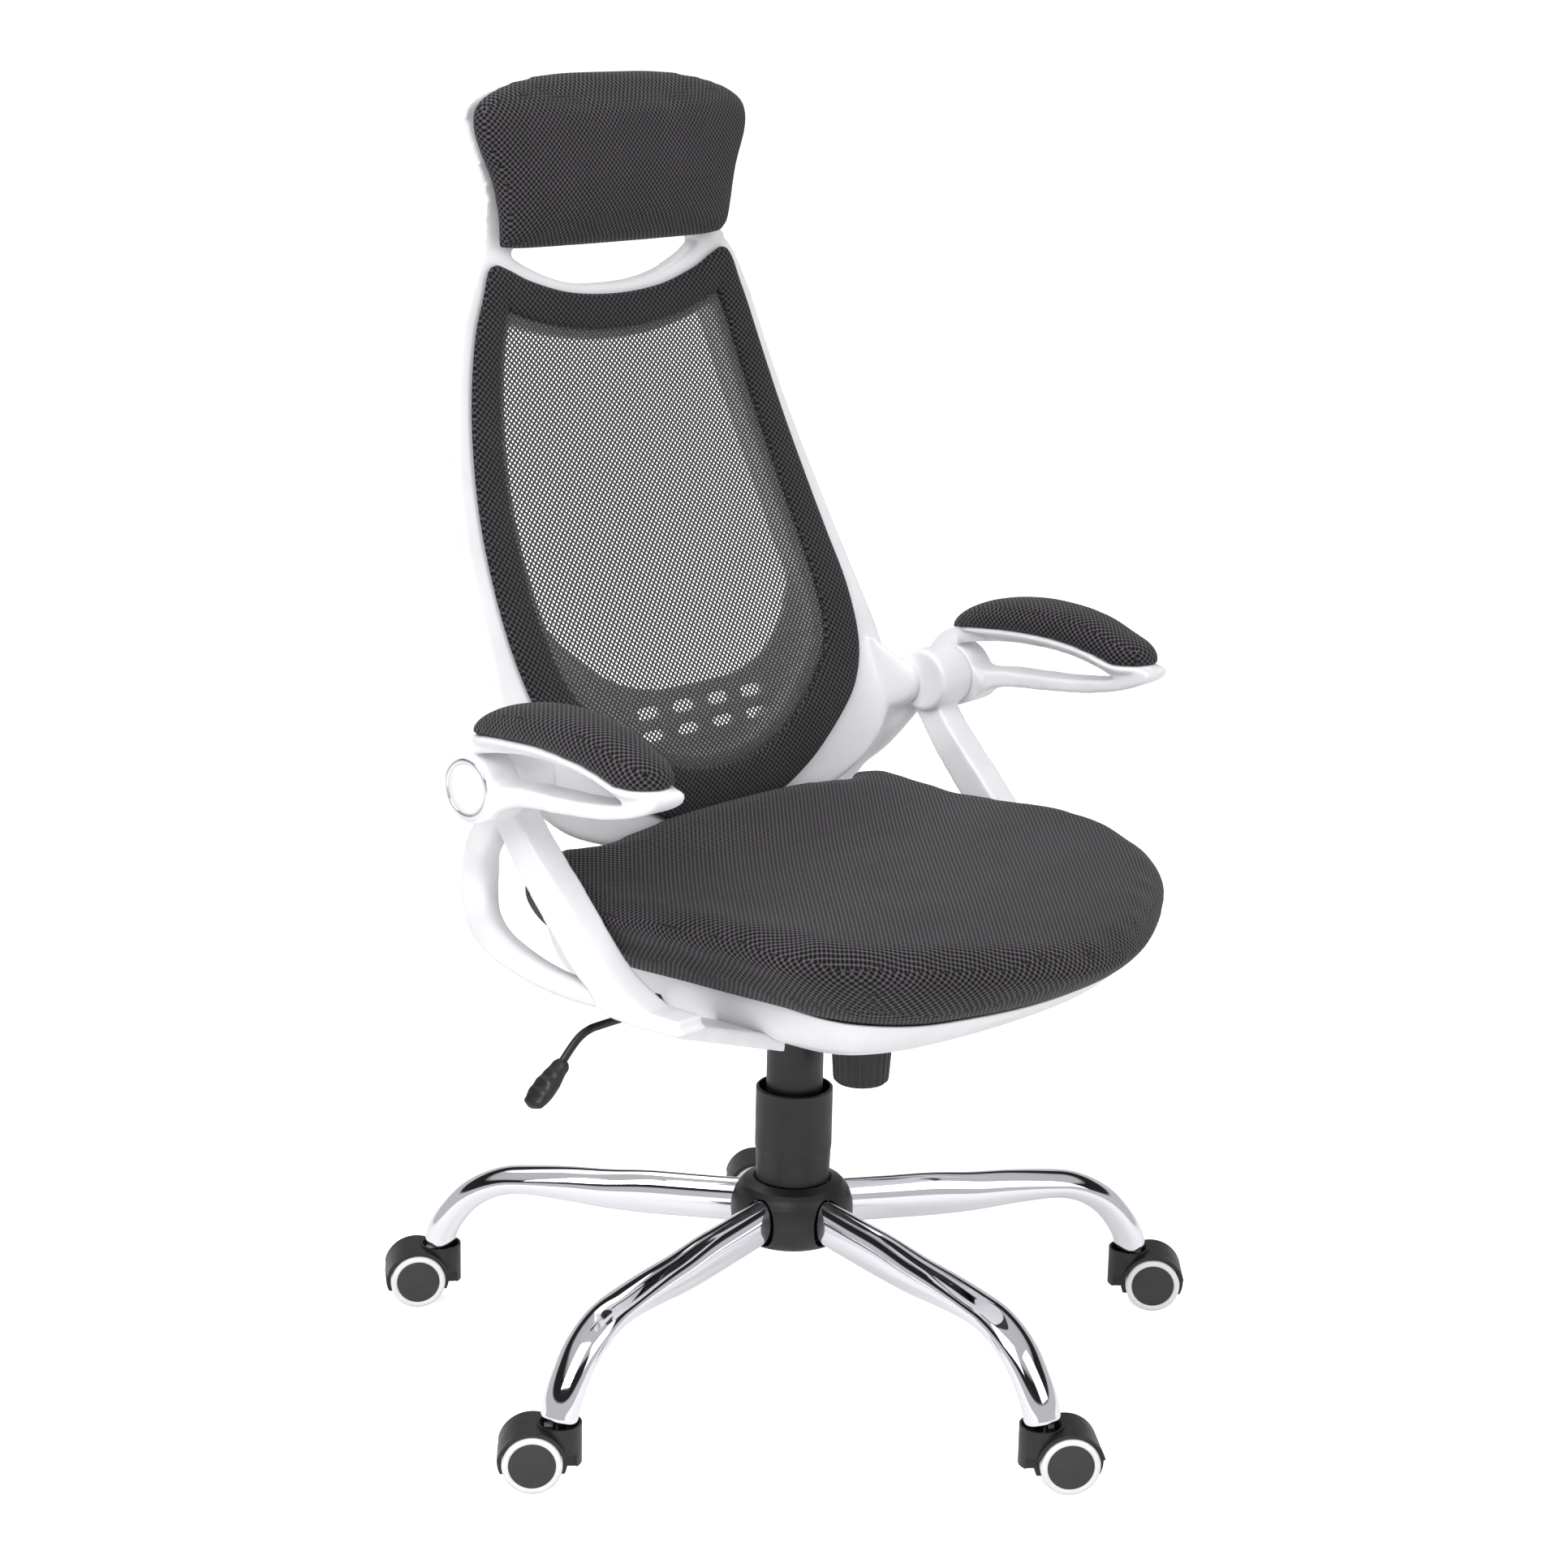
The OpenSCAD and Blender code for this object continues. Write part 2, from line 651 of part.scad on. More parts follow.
strut_outline = [
    [92, 572], [92, 546], [84, 532], [61, 500], [44, 480], [30, 464], [6, 438], [-12, 420],
    [-30, 407], [-42, 394], [-90, 391], [-132, 396], [-108, 402], [-86, 407], [-52, 424],
    [-24, 450], [4, 480], [24, 500], [44, 521], [58, 540], [62, 560]
];
// The bracket's rear arm wraps round the cushion's corner and runs forward under it
rear_arm = [
    [264, 94, 547], [251, 124, 505], [239, 145, 484], [231, 157, 462], [231, 159, 441], [238, 146, 422],
    [252, 110, 410], [263, 56, 402], [270, 4, 400], [273, -60, 402]
];
rear_arm_size = [26, 24, 26, 26, 26, 24, 20, 17, 16, 14];

function rear_arm_ring(i) = let (
        last = len(rear_arm) - 1,
        t = unit(rear_arm[min(i + 1, last)] - rear_arm[max(i - 1, 0)]),
        side = unit(cross(t, [1, 0, 0.2])),
        out = cross(side, t),
        h = rear_arm_size[i] / 2
    ) [for (p = ellipse(1, 1, 12)) rear_arm[i] + 12 * power(p[0], 0.7) * out + h * power(p[1], 0.7) * side];

module above_shell() {
    skin(concat(
        [shell_ring(0.3, 0, -skin_gap)],
        [for (c = shell_climb) shell_ring(c[0], c[1], -skin_gap)],
        [shell_ring(0.985, 1, 60)]
    ));
}

module arm_bracket(side) {
    color(white) hand(side) difference() {
        union() {
            side_plate(bracket_x[0], bracket_x[1]) polygon(smooth_loop(strut_outline, 4));
            translate([0, pivot_y, pivot_z]) rod_x(ear_x[0], ear_x[1], pivot_hub_r);
            difference() {
                skin([for (i = [0:len(rear_arm) - 1]) rear_arm_ring(i)]);
                box_between([0, 0, 530], [ear_x[0] + 1, far, far * 2]);
            }
            hull() {
                box_between([bracket_x[0], -126, 393], [bracket_x[1], -52, 405]);
                box_between([148, -118, 346], [158, -70, 358]);
            }
        }
        translate([0, pivot_y, pivot_z]) rod_x(ear_x[0] + 6, far, pin_r);
        for (z = screw_z) translate([0, screw_y, z]) rod_x(0, 272, 3);
        above_shell();
    }
}

armrest_outer = [
    [98, 566], [97, 586], [80, 604], [52, 612], [6, 617], [-42, 617], [-82, 611], [-112, 602],
    [-128, 602], [-142, 614], [-146, 606], [-134, 592], [-110, 582], [-76, 576], [-36, 573],
    [10, 570], [38, 562], [50, 548], [74, 537]
];
armrest_hole = [
    [70, 592], [48, 600], [6, 606], [-42, 606], [-80, 601], [-108, 592], [-110, 588],
    [-80, 585], [-42, 582], [10, 580], [46, 578]
];
// Stations [y, z] along the top of the armrest, which carries the pad
pad_seat = [[80, 604], [52, 612], [6, 617], [-42, 617], [-82, 611], [-112, 602], [-130, 602]];

module splayed() {
    translate([arm_mid_x, pivot_y, 0]) rotate([0, 0, splay])
        translate([-arm_mid_x, -pivot_y, 0]) children();
}

module armrest(side) {
    color(white) hand(side) difference() {
        union() {
            splayed() difference() {
                side_plate(armrest_x[0], armrest_x[1]) polygon(smooth_loop(armrest_outer, 4));
                side_plate(armrest_x[0] - 1, armrest_x[1] + 1) polygon(smooth_loop(armrest_hole, 4));
            }
            translate([0, pivot_y, pivot_z]) rod_x(hub_x[0], hub_x[1], pivot_hub_r);
        }
        translate([0, pivot_y, pivot_z]) rod_x(0, far, pin_r + fit_gap);
        translate([0, pivot_y, pivot_z]) rod_x(313.7, far, pin_head_r + 1);
        box_between([0, 40, 520], [hub_x[0], 110, 600]);
        splayed() pad_body(0.3);
    }
}

// Pad stations: [fraction of length, fraction of width, height]
pad_shape = [
    [0, 0.3, 6], [0.03, 0.55, 12], [0.09, 0.78, 18], [0.2, 0.92, 24], [0.35, 1, 28], [0.5, 1, 29],
    [0.65, 0.98, 29], [0.8, 0.92, 28], [0.9, 0.8, 25], [0.97, 0.55, 18], [1, 0.28, 10]
];
pad_y = [74, -140];

module pad_body(grow) {
    n = 24;
    floor_table = [for (i = [len(pad_seat) - 1:-1:0]) pad_seat[i]];
    skin([for (p = pad_shape) let (
            y = mix(pad_y[0] + grow, pad_y[1] - grow, p[0]),
            z = lookup(y, floor_table) + 0.3,
            w = pad_w / 2 * p[1] + grow
        ) [for (i = [0:n - 1]) let (a = 360 * i / n)
            [arm_mid_x + w * power(cos(a), 0.7), y,
                z - grow + (sin(a) > 0 ? (p[2] + 2 * grow) * power(sin(a), 0.8) : 2 * sin(a))]]]);
}

module arm_pad(side) {
    color(dark_fabric) hand(side) splayed() pad_body(0);
}

module pivot_pin(side) {
    color("silver") hand(side) translate([0, pivot_y, pivot_z]) {
        rod_x(ear_x[0] + 6, 319, pin_r);
        translate([314, 0, 0]) rod_x(0, 5, pin_head_r);
    }
}

module pivot_ring(side) {
    color("#dcdce0") hand(side) translate([hub_x[1], pivot_y, pivot_z]) difference() {
        rod_x(0, 2.6, ring_out_r);
        rod_x(-1, 5, ring_in_r);
    }
}

module pivot_cap(side) {
    color(white) hand(side) translate([hub_x[1], pivot_y, pivot_z]) rod_x(0, 3, ring_in_r);
}

// ---- back ----

// Distances behind the net's middle surface
frame_front = 2.2;
net_half_t = 0.6;
border_y = [-4.8, -2.4];

function back_y(z) = lookup(z, back_profile);
function on_back(p, dy) = [p[0], back_y(p[1]) + dy, p[1]];
mesh_loop = smooth_loop(mirrored_loop(mesh_half), 2);
mesh_inner = offset_loop(mesh_loop, -border_w);

frame_loop = [
    for (i = [0:len(mesh_loop) - 1])
        flat_point(mesh_loop[i]) + mesh_loop[i][2] * outward(mesh_loop, i)
];

function band_ring(i, outer, inner, y0, y1) = [
    on_back(outer[i], y0), on_back(outer[i], y1), on_back(inner[i], y1), on_back(inner[i], y0)
];

// Channel section of the frame: a front web, an outer wall that slopes inwards as it goes back,
// and a rim wall round the window
function frame_section(i) = let (
        o = frame_loop[i],
        n = mesh_inner[i],
        d = unit(n - o),
        w = norm(n - o),
        slope = min(26, w - 14),
        web = 6,
        t = 3.5
    ) [
        on_back(o, frame_front), on_back(o, frame_front + 4), on_back(o + slope * d, rim_depth),
        on_back(o + (slope + t) * d, rim_depth), on_back(o + 9 * d, web + 1),
        on_back(n - t * d, web + 1), on_back(n - t * d, rim_depth), on_back(n, rim_depth),
        on_back(n, frame_front)
    ];

function crescent(low, high, tip_x) = concat(
    [for (i = [0:12]) let (x = -tip_x + tip_x * i / 6) [x, low + (high - low) * pow(abs(x) / tip_x, 2.4)]],
    [[tip_x - 4, high + 8], [-tip_x + 4, high + 8]]
);

function plate_ring(z, w, y0, y1, taper) =
    [[-w, y0, z], [w, y0, z], [w - taper, y1, z], [-w + taper, y1, z]];

// The plate behind the headrest stands on the frame's top edge
module head_plate() {
    top = len(head_half_w) - 1;
    frame_edge = [
        for (i = [0:len(mesh_loop) - 1])
            flat_point(mesh_loop[i]) + (mesh_loop[i][2] + skin_gap) * outward(mesh_loop, i)
    ];
    color(white) difference() {
        skin([for (s = head_half_w)
            plate_ring(s[0], s[1], back_y(s[0]) + 3, back_y(s[0]) + rim_depth - 4, 18)]);
        // hollow behind the front wall
        skin([for (i = [2:top - 2]) let (s = head_half_w[i])
            plate_ring(s[0], s[1] - 24, back_y(s[0]) + 8, back_y(s[0]) + far, 0)]);
        front_plate(0, far) polygon(crescent(932, 962, 117));
        front_plate(0, far) polygon(frame_edge);
    }
}

slot_rows = [557, 576];
slot_spots = [-66, -22, 22, 66];

module lower_panel() {
    difference() {
        skin([for (z = [486, 510, 530, 550, 570, 590, 602])
            plate_ring(z, z < 530 ? 60 + (z - 486) * 1.5 : 126 + (z - 530) * 0.5,
                back_y(z) + 14, back_y(z) + 18, 0)]);
        for (z = slot_rows, x = slot_spots)
            box_between([x - 16, 0, z - 5.5], [x + 16, far, z + 5.5]);
    }
}

module frame_tab() {
    hull() {
        translate([0, 95, 560]) rod_x(242, ear_x[0], 21);
        box_between([222, back_y(560) + 3, 530], [228, back_y(560) + 20, 604]);
    }
}

module back_frame() {
    m = len(mesh_loop);
    color(white) difference() {
        union() {
            skin_ring([for (i = [0:m - 1]) frame_section(i)]);
            lower_panel();
            for (s = [0, 1]) mirror([s, 0, 0]) frame_tab();
        }
        for (s = [0, 1], z = screw_z) mirror([s, 0, 0]) translate([0, screw_y, z]) {
            rod_x(0, far, 3);
            rod_x(0, 244, 6);
        }
    }
}

module frame_screws() {
    color("silver") for (s = [0, 1], z = screw_z) mirror([s, 0, 0]) translate([0, screw_y, z]) {
        rod_x(240, 268, 3);
        rod_x(240, 244, 5.5);
    }
}

module back_mesh() {
    side = [
        for (i = [0:len(mesh_loop) / 2]) let (p = mesh_loop[i])
            if (p[1] < 953 && (p[0] > 150 || p[1] < 540)) p
    ];
    color(dark_fabric) difference() {
        skin([
            for (p = side)
                plate_ring(p[1], max(p[0], 1) - 0.8, back_y(p[1]) - net_half_t,
                    back_y(p[1]) + net_half_t, 0)
        ]);
        front_plate(0, far) polygon(concat(
            [for (p = mesh_loop) if (p[1] > 925 && abs(p[0]) < 142) flat_point(p)],
            [[-142, 1000], [142, 1000]]
        ));
    }
}

module mesh_border() {
    color("#2e2a2c") skin_ring([for (i = [0:len(mesh_loop) - 1])
        band_ring(i, mesh_loop, mesh_inner, border_y[0], border_y[1])]);
}

// Stations of the headrest pad: [height, half width, thickness]
headrest_shape = [
    [969, 145, 14], [978, 149, 28], [1000, 151, 40], [1025, 154, 46], [1050, 161, 44], [1072, 165, 40],
    [1086, 158, 34], [1097, 138, 27], [1105, 108, 20], [1111, 66, 12], [1114, 24, 6]
];

module headrest_pad() {
    n = 32;
    color(dark_fabric) skin([for (s = headrest_shape) let (y = back_y(s[0]) + 2.6, t = s[2] / 2)
        [for (i = [0:n - 1]) let (a = 360 * i / n)
            [s[1] * power(cos(a), 0.6), y - t + t * power(sin(a), 0.7), s[0]]]]);
}

hub_socket();
hub_cover();
base_legs();
leg_sockets();
gas_tube();
lower_cover();
gas_rod();
gas_cylinder();
mech_housing();
tilt_axle();
tilt_spring();
mech_plate();
tension_bolt();
spring_washer();
tension_knob();
lever_bush();
lever_rod();
lever_grip();
seat_bolts();
seat_board();
seat_shell();
seat_cushion();
back_frame();
head_plate();
back_mesh();
mesh_border();
headrest_pad();
frame_screws();
for (s = ["r", "l"]) {
    arm_bracket(s);
    armrest(s);
    arm_pad(s);
    pivot_pin(s);
    pivot_ring(s);
    pivot_cap(s);
}
for (k = LEGS) {
    caster_hood(k);
    caster_pins(k);
    caster_wheel(k, "a");
    caster_wheel(k, "b");
}
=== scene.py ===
"""Looks of a high-back swivel chair with a mesh back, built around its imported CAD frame.

Tables are in millimetres in the frame's axes: the sitter faces -Y, +X is the sitter's left,
+Z is up and the origin is on the floor under the column. Meshes are made in metres.
"""

import json
import math

import bmesh
import bpy
import numpy as np
from mathutils import Matrix, Vector


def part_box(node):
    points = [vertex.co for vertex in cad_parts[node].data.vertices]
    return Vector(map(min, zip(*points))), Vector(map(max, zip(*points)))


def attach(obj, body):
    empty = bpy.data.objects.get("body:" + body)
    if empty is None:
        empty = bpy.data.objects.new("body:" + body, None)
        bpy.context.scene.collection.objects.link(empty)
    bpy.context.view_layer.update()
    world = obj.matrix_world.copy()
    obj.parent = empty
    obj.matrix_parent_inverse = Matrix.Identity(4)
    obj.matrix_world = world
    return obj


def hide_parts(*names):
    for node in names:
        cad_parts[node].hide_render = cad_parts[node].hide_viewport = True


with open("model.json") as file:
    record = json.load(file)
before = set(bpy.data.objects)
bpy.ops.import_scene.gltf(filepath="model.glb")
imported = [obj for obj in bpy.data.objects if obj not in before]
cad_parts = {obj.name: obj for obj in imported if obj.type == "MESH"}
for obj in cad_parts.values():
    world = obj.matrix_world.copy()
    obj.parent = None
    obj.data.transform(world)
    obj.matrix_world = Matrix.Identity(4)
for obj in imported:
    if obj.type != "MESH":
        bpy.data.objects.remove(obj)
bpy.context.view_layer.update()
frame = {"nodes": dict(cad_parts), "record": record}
BODY_OF = {n: b for b, nodes in frame["record"]["behaviour"]["bodies"].items() for n in nodes}
MM = 0.001
LEGS = range(5)


# ---- mesh tools ----


def spline(a, b, c, d, t):
    """Catmull-Rom point between b and c."""
    return 0.5 * (2 * b + (c - a) * t + (2 * a - 5 * b + 4 * c - d) * t**2
                  + (3 * b - a - 3 * c + d) * t**3)


def smooth_loop(points, steps):
    """A closed smooth curve through points, with steps segments between each two."""
    p = np.asarray(points, float)
    m = len(p)
    return np.array([spline(p[i - 1], p[i], p[(i + 1) % m], p[(i + 2) % m], k / steps)
                     for i in range(m) for k in range(steps)])


def smooth_path(points, steps):
    """An open smooth curve through points."""
    p = np.asarray(points, float)
    p = np.vstack([2 * p[0] - p[1], p, 2 * p[-1] - p[-2]])
    inner = [spline(p[i - 1], p[i], p[i + 1], p[i + 2], k / steps)
             for i in range(1, len(p) - 2) for k in range(steps)]
    return np.array(inner + [p[-2]])


def curve(table):
    """A smooth function of one variable through (x, y) pairs."""
    x, y = np.array(sorted(table), float).T
    slope = np.gradient(y, x)

    def value(v):
        v = np.clip(v, x[0], x[-1])
        i = np.clip(np.searchsorted(x, v, side="right") - 1, 0, len(x) - 2)
        h = x[i + 1] - x[i]
        t = (v - x[i]) / h
        return ((2 * t**3 - 3 * t**2 + 1) * y[i] + (t**3 - 2 * t**2 + t) * h * slope[i]
                + (3 * t**2 - 2 * t**3) * y[i + 1] + (t**3 - t**2) * h * slope[i + 1])

    return value


def mirrored(half):
    """A loop from its right half, whose first and last points lie on the middle plane."""
    back = [[-p[0], *p[1:]] for p in half[-2:0:-1]]
    return [list(p) for p in half] + back


def power(v, p):
    return np.sign(v) * np.abs(v) ** p


def unit(v):
    return v / max(np.linalg.norm(v), 1e-9)


def around(sides):
    """Angles that share a full turn out evenly."""
    return 2 * np.pi * np.arange(sides) / sides


def linked(name, data):
    """A new object in the scene."""
    obj = bpy.data.objects.new(name, data)
    bpy.context.scene.collection.objects.link(obj)
    return obj


def make_mesh(name, points, faces, materials=()):
    """An object from points in millimetres, with normals facing out and smooth shading."""
    mesh = bpy.data.meshes.new(name)
    mesh.from_pydata([tuple(p) for p in np.asarray(points, float) * MM], [], faces)
    bm = bmesh.new()
    bm.from_mesh(mesh)
    bmesh.ops.recalc_face_normals(bm, faces=bm.faces)
    bm.to_mesh(mesh)
    bm.free()
    mesh.shade_smooth()
    for m in materials:
        mesh.materials.append(m)
    return linked(name, mesh)


def loft(name, rings, ring_shaped=False, materials=()):
    """A skin through rings of equal point counts: closed by caps, or joined end to end."""
    rings = np.asarray(rings, float)
    m, n = rings.shape[:2]
    faces = []
    for j in range(m if ring_shaped else m - 1):
        k = (j + 1) % m
        faces += [(j * n + i, j * n + (i + 1) % n, k * n + (i + 1) % n, k * n + i)
                  for i in range(n)]
    if not ring_shaped:
        faces += [tuple(range(n)), tuple((m - 1) * n + i for i in reversed(range(n)))]
    return make_mesh(name, rings.reshape(-1, 3), faces, materials)


def lathe(name, profile, sides=96, materials=(), wave=None):
    """A turned solid about Z through (radius, height) pairs; wave(angle, i) scales a radius."""
    turn = around(sides)
    rings = []
    for i, (r, z) in enumerate(profile):
        rr = r * (np.ones(sides) if wave is None else wave(turn, i))
        rings.append(np.stack([rr * np.cos(turn), rr * np.sin(turn), np.full(sides, z)], 1))
    return loft(name, rings, materials=materials)


def plate(name, outline, low, high, axis="x"):
    """An outline given a thickness along x (points are y, z) or along y (points are x, z)."""
    n = len(outline)
    at = {"x": lambda p, d: (d, p[0], p[1]), "y": lambda p, d: (p[0], d, p[1])}[axis]
    points = [at(p, d) for d in (low, high) for p in outline]
    sides = [(i, (i + 1) % n, n + (i + 1) % n, n + i) for i in range(n)]
    return make_mesh(name, points, [tuple(range(n)), tuple(range(2 * n - 1, n - 1, -1))] + sides)


def rod(name, start, end, r, sides=48):
    """A round bar between two points."""
    start, end = np.array(start, float), np.array(end, float)
    t = unit(end - start)
    u = unit(np.cross(t, [0, 0, 1] if abs(t[2]) < 0.9 else [1, 0, 0]))
    v = np.cross(t, u)
    turn = around(sides)
    ring = r * (np.cos(turn)[:, None] * u + np.sin(turn)[:, None] * v)
    return loft(name, [start + ring, end + ring])


def block(name, low, high):
    (a, b, c), (d, e, f) = low, high
    return loft(name, [[(a, b, z), (d, b, z), (d, e, z), (a, e, z)] for z in (c, f)])


def apply_modifiers(obj):
    """Replaces an object's mesh by what its modifiers make of it."""
    graph = bpy.context.evaluated_depsgraph_get()
    mesh = bpy.data.meshes.new_from_object(obj.evaluated_get(graph))
    obj.modifiers.clear()
    old = obj.data
    obj.data = mesh
    bpy.data.meshes.remove(old)
    obj.data.shade_smooth()
    return obj


def remove(obj):
    mesh = obj.data
    bpy.data.objects.remove(obj)
    bpy.data.meshes.remove(mesh)


def cut(obj, *tools):
    """Takes the tools' shapes out of obj, and removes the tools."""
    for tool in tools:
        m = obj.modifiers.new("cut", "BOOLEAN")
        m.operation, m.object, m.solver = "DIFFERENCE", tool, "EXACT"
    apply_modifiers(obj)
    for tool in tools:
        remove(tool)
    return obj


def join(obj, *others):
    """Adds the others' meshes to obj, and removes the others."""
    bm = bmesh.new()
    bm.from_mesh(obj.data)
    for o in others:
        bm.from_mesh(o.data)
    bm.to_mesh(obj.data)
    bm.free()
    for o in others:
        remove(o)
    return obj


def soften(obj, rounds):
    m = obj.modifiers.new("soften", "SMOOTH")
    m.factor, m.iterations = 0.5, rounds
    apply_modifiers(obj)


def one_skin(obj, voxel, rounds):
    """Remeshes obj evenly, fusing what overlaps in it, and smooths it."""
    m = obj.modifiers.new("even", "REMESH")
    m.mode, m.voxel_size = "VOXEL", voxel * MM
    soften(obj, rounds)


def moulded(obj, voxel, rounds=8, swell=0.7):
    """Fuses joined solids into one skin with rounded edges, as a mould gives them. The swell
    gives back the thickness, in millimetres, that the rounding takes off."""
    one_skin(obj, voxel, rounds)
    place(obj, coordinates(obj.data) + swell * MM * normals(obj))


def ease_edges(obj, width, angle):
    """Bevels the edges that turn by more than the angle, in degrees."""
    m = obj.modifiers.new("eased_edges", "BEVEL")
    m.width, m.segments, m.limit_method = width * MM, 2, "ANGLE"
    m.angle_limit = math.radians(angle)


def coordinates(mesh):
    co = np.zeros(len(mesh.vertices) * 3)
    mesh.vertices.foreach_get("co", co)
    return co.reshape(-1, 3)


def normals(obj):
    return np.array([v.normal[:] for v in obj.data.vertices])


def place(obj, points):
    obj.data.vertices.foreach_set("co", points.ravel())
    obj.data.update()


def fit_box(obj, node):
    """Stretches a piece until it fills the box of the CAD node it stands for."""
    low, high = (np.array(v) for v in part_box(node))
    co = coordinates(obj.data)
    a, b = co.min(0), co.max(0)
    place(obj, low + (co - a) / (b - a) * (high - low))


def flipped(obj, name):
    """A mirror image of obj on the other side of the middle plane."""
    twin = linked(name, obj.data.copy())
    twin.data.transform(Matrix.Scale(-1, 4, (1, 0, 0)))
    twin.data.flip_normals()
    return twin


# ---- materials ----


class Nodes:
    """Builds a material's node tree around its Principled shader."""

    def __init__(self, name, **values):
        self.material = bpy.data.materials.new(name)
        self.material.use_nodes = True
        self.tree = self.material.node_tree
        self.shader = self.tree.nodes["Principled BSDF"]
        for key, value in values.items():
            socket = self.shader.inputs[key.replace("_", " ")]
            socket.default_value = (*value, 1) if isinstance(value, tuple) else value

    def add(self, kind, *inputs, output=0, **settings):
        """A node with its inputs linked or set in order. None leaves an input alone."""
        n = self.tree.nodes.new("ShaderNode" + kind)
        for key, value in settings.items():
            setattr(n, key, value)
        for socket, value in zip(n.inputs, inputs):
            if isinstance(value, bpy.types.NodeSocket):
                self.tree.links.new(value, socket)
            elif value is not None:
                socket.default_value = value
        return n.outputs[output]

    def math(self, operation, *inputs):
        return self.add("Math", *inputs, operation=operation)

    def vector(self, operation, *inputs, output=0):
        return self.add("VectorMath", *inputs, operation=operation, output=output)

    def place(self):
        """The point on the piece, in millimetres."""
        return self.vector("MULTIPLY", self.add("TexCoord", output=3), (1000, 1000, 1000))

    def ramp(self, value, low, high, to_low=0.0, to_high=1.0):
        return self.add("MapRange", value, low, high, to_low, to_high)

    def spread(self, noise, to_low=0.0, to_high=1.0):
        """Stretches the middle of a noise's range, where most of it lies, to new limits."""
        return self.ramp(noise, 0.3, 0.7, to_low, to_high)

    def noise(self, where, scale, detail=3.0):
        return self.add("TexNoise", where, None, scale, detail)

    def split(self, value):
        """The x, y and z of a vector."""
        n = self.tree.nodes.new("ShaderNodeSeparateXYZ")
        self.tree.links.new(value, n.inputs[0])
        return n.outputs

    def total(self, values):
        a, b, c = values
        return self.math("ADD", self.math("ADD", a, b), c)

    def mix(self, share, a, b):
        n = self.tree.nodes.new("ShaderNodeMix")
        n.data_type = "RGBA"
        for socket, value in ((n.inputs[0], share), (n.inputs[6], a), (n.inputs[7], b)):
            if isinstance(value, bpy.types.NodeSocket):
                self.tree.links.new(value, socket)
            else:
                socket.default_value = value if isinstance(value, float) else (*value, 1)
        return n.outputs[2]

    def bump(self, height, strength, distance, under=None):
        n = self.tree.nodes.new("ShaderNodeBump")
        n.inputs["Strength"].default_value = strength
        n.inputs["Distance"].default_value = distance * MM
        self.tree.links.new(height, n.inputs["Height"])
        if under is not None:
            self.tree.links.new(under, n.inputs["Normal"])
        return n.outputs[0]

    def link(self, value, key):
        self.tree.links.new(value, self.shader.inputs[key])


def plastic(name, colour, roughness, grain, grain_size, coat=0.0):
    """Moulded plastic: a fine grain, patches of handling wear and a little flow colour."""
    m = Nodes(name, Base_Color=colour, Specular_IOR_Level=0.5, Coat_Weight=coat)
    where = m.place()
    patches = m.noise(where, 0.02)
    light = tuple(min(1.0, c * 1.06 + 0.003) for c in colour)
    m.link(m.mix(m.ramp(patches, 0.35, 0.65), colour, light), "Base Color")
    wear = m.noise(where, 0.05, 5.0)
    m.link(m.spread(wear, roughness - 0.05, roughness + 0.07), "Roughness")
    fine = m.noise(where, 1 / grain_size, 2.0)
    m.link(m.bump(fine, grain, 0.12), "Normal")
    return m.material


def chrome(name, colour, roughness):
    """Plated steel with faint smears and polishing lines."""
    m = Nodes(name, Base_Color=colour, Metallic=1.0)
    where = m.place()
    smears = m.noise(where, 0.03, 5.0)
    lines = m.noise(m.vector("MULTIPLY", where, (0.2, 0.2, 3.0)), 0.4, 2.0)
    rough = m.ramp(m.math("MULTIPLY", smears, lines), 0.15, 0.4, roughness, roughness + 0.05)
    m.link(rough, "Roughness")
    m.link(m.bump(smears, 0.04, 0.3), "Normal")
    return m.material


def hole_distance(m, u, v, cell):
    """Distance in millimetres to the nearest hole of a knit whose holes are staggered."""
    flat = m.add("CombineXYZ", u, v, 0.0)
    steps = m.vector("DIVIDE", flat, (cell[0], cell[1], 1))
    found = []
    for shift in (0.0, 0.5):
        place = m.vector("FRACTION", m.vector("ADD", steps, (shift, shift, 0)))
        centred = m.vector("SUBTRACT", place, (0.5, 0.5, 0))
        offset = m.vector("MULTIPLY", centred, (cell[0], cell[1], 0))
        found.append(m.vector("LENGTH", offset, output=1))
    return m.math("MINIMUM", *found)


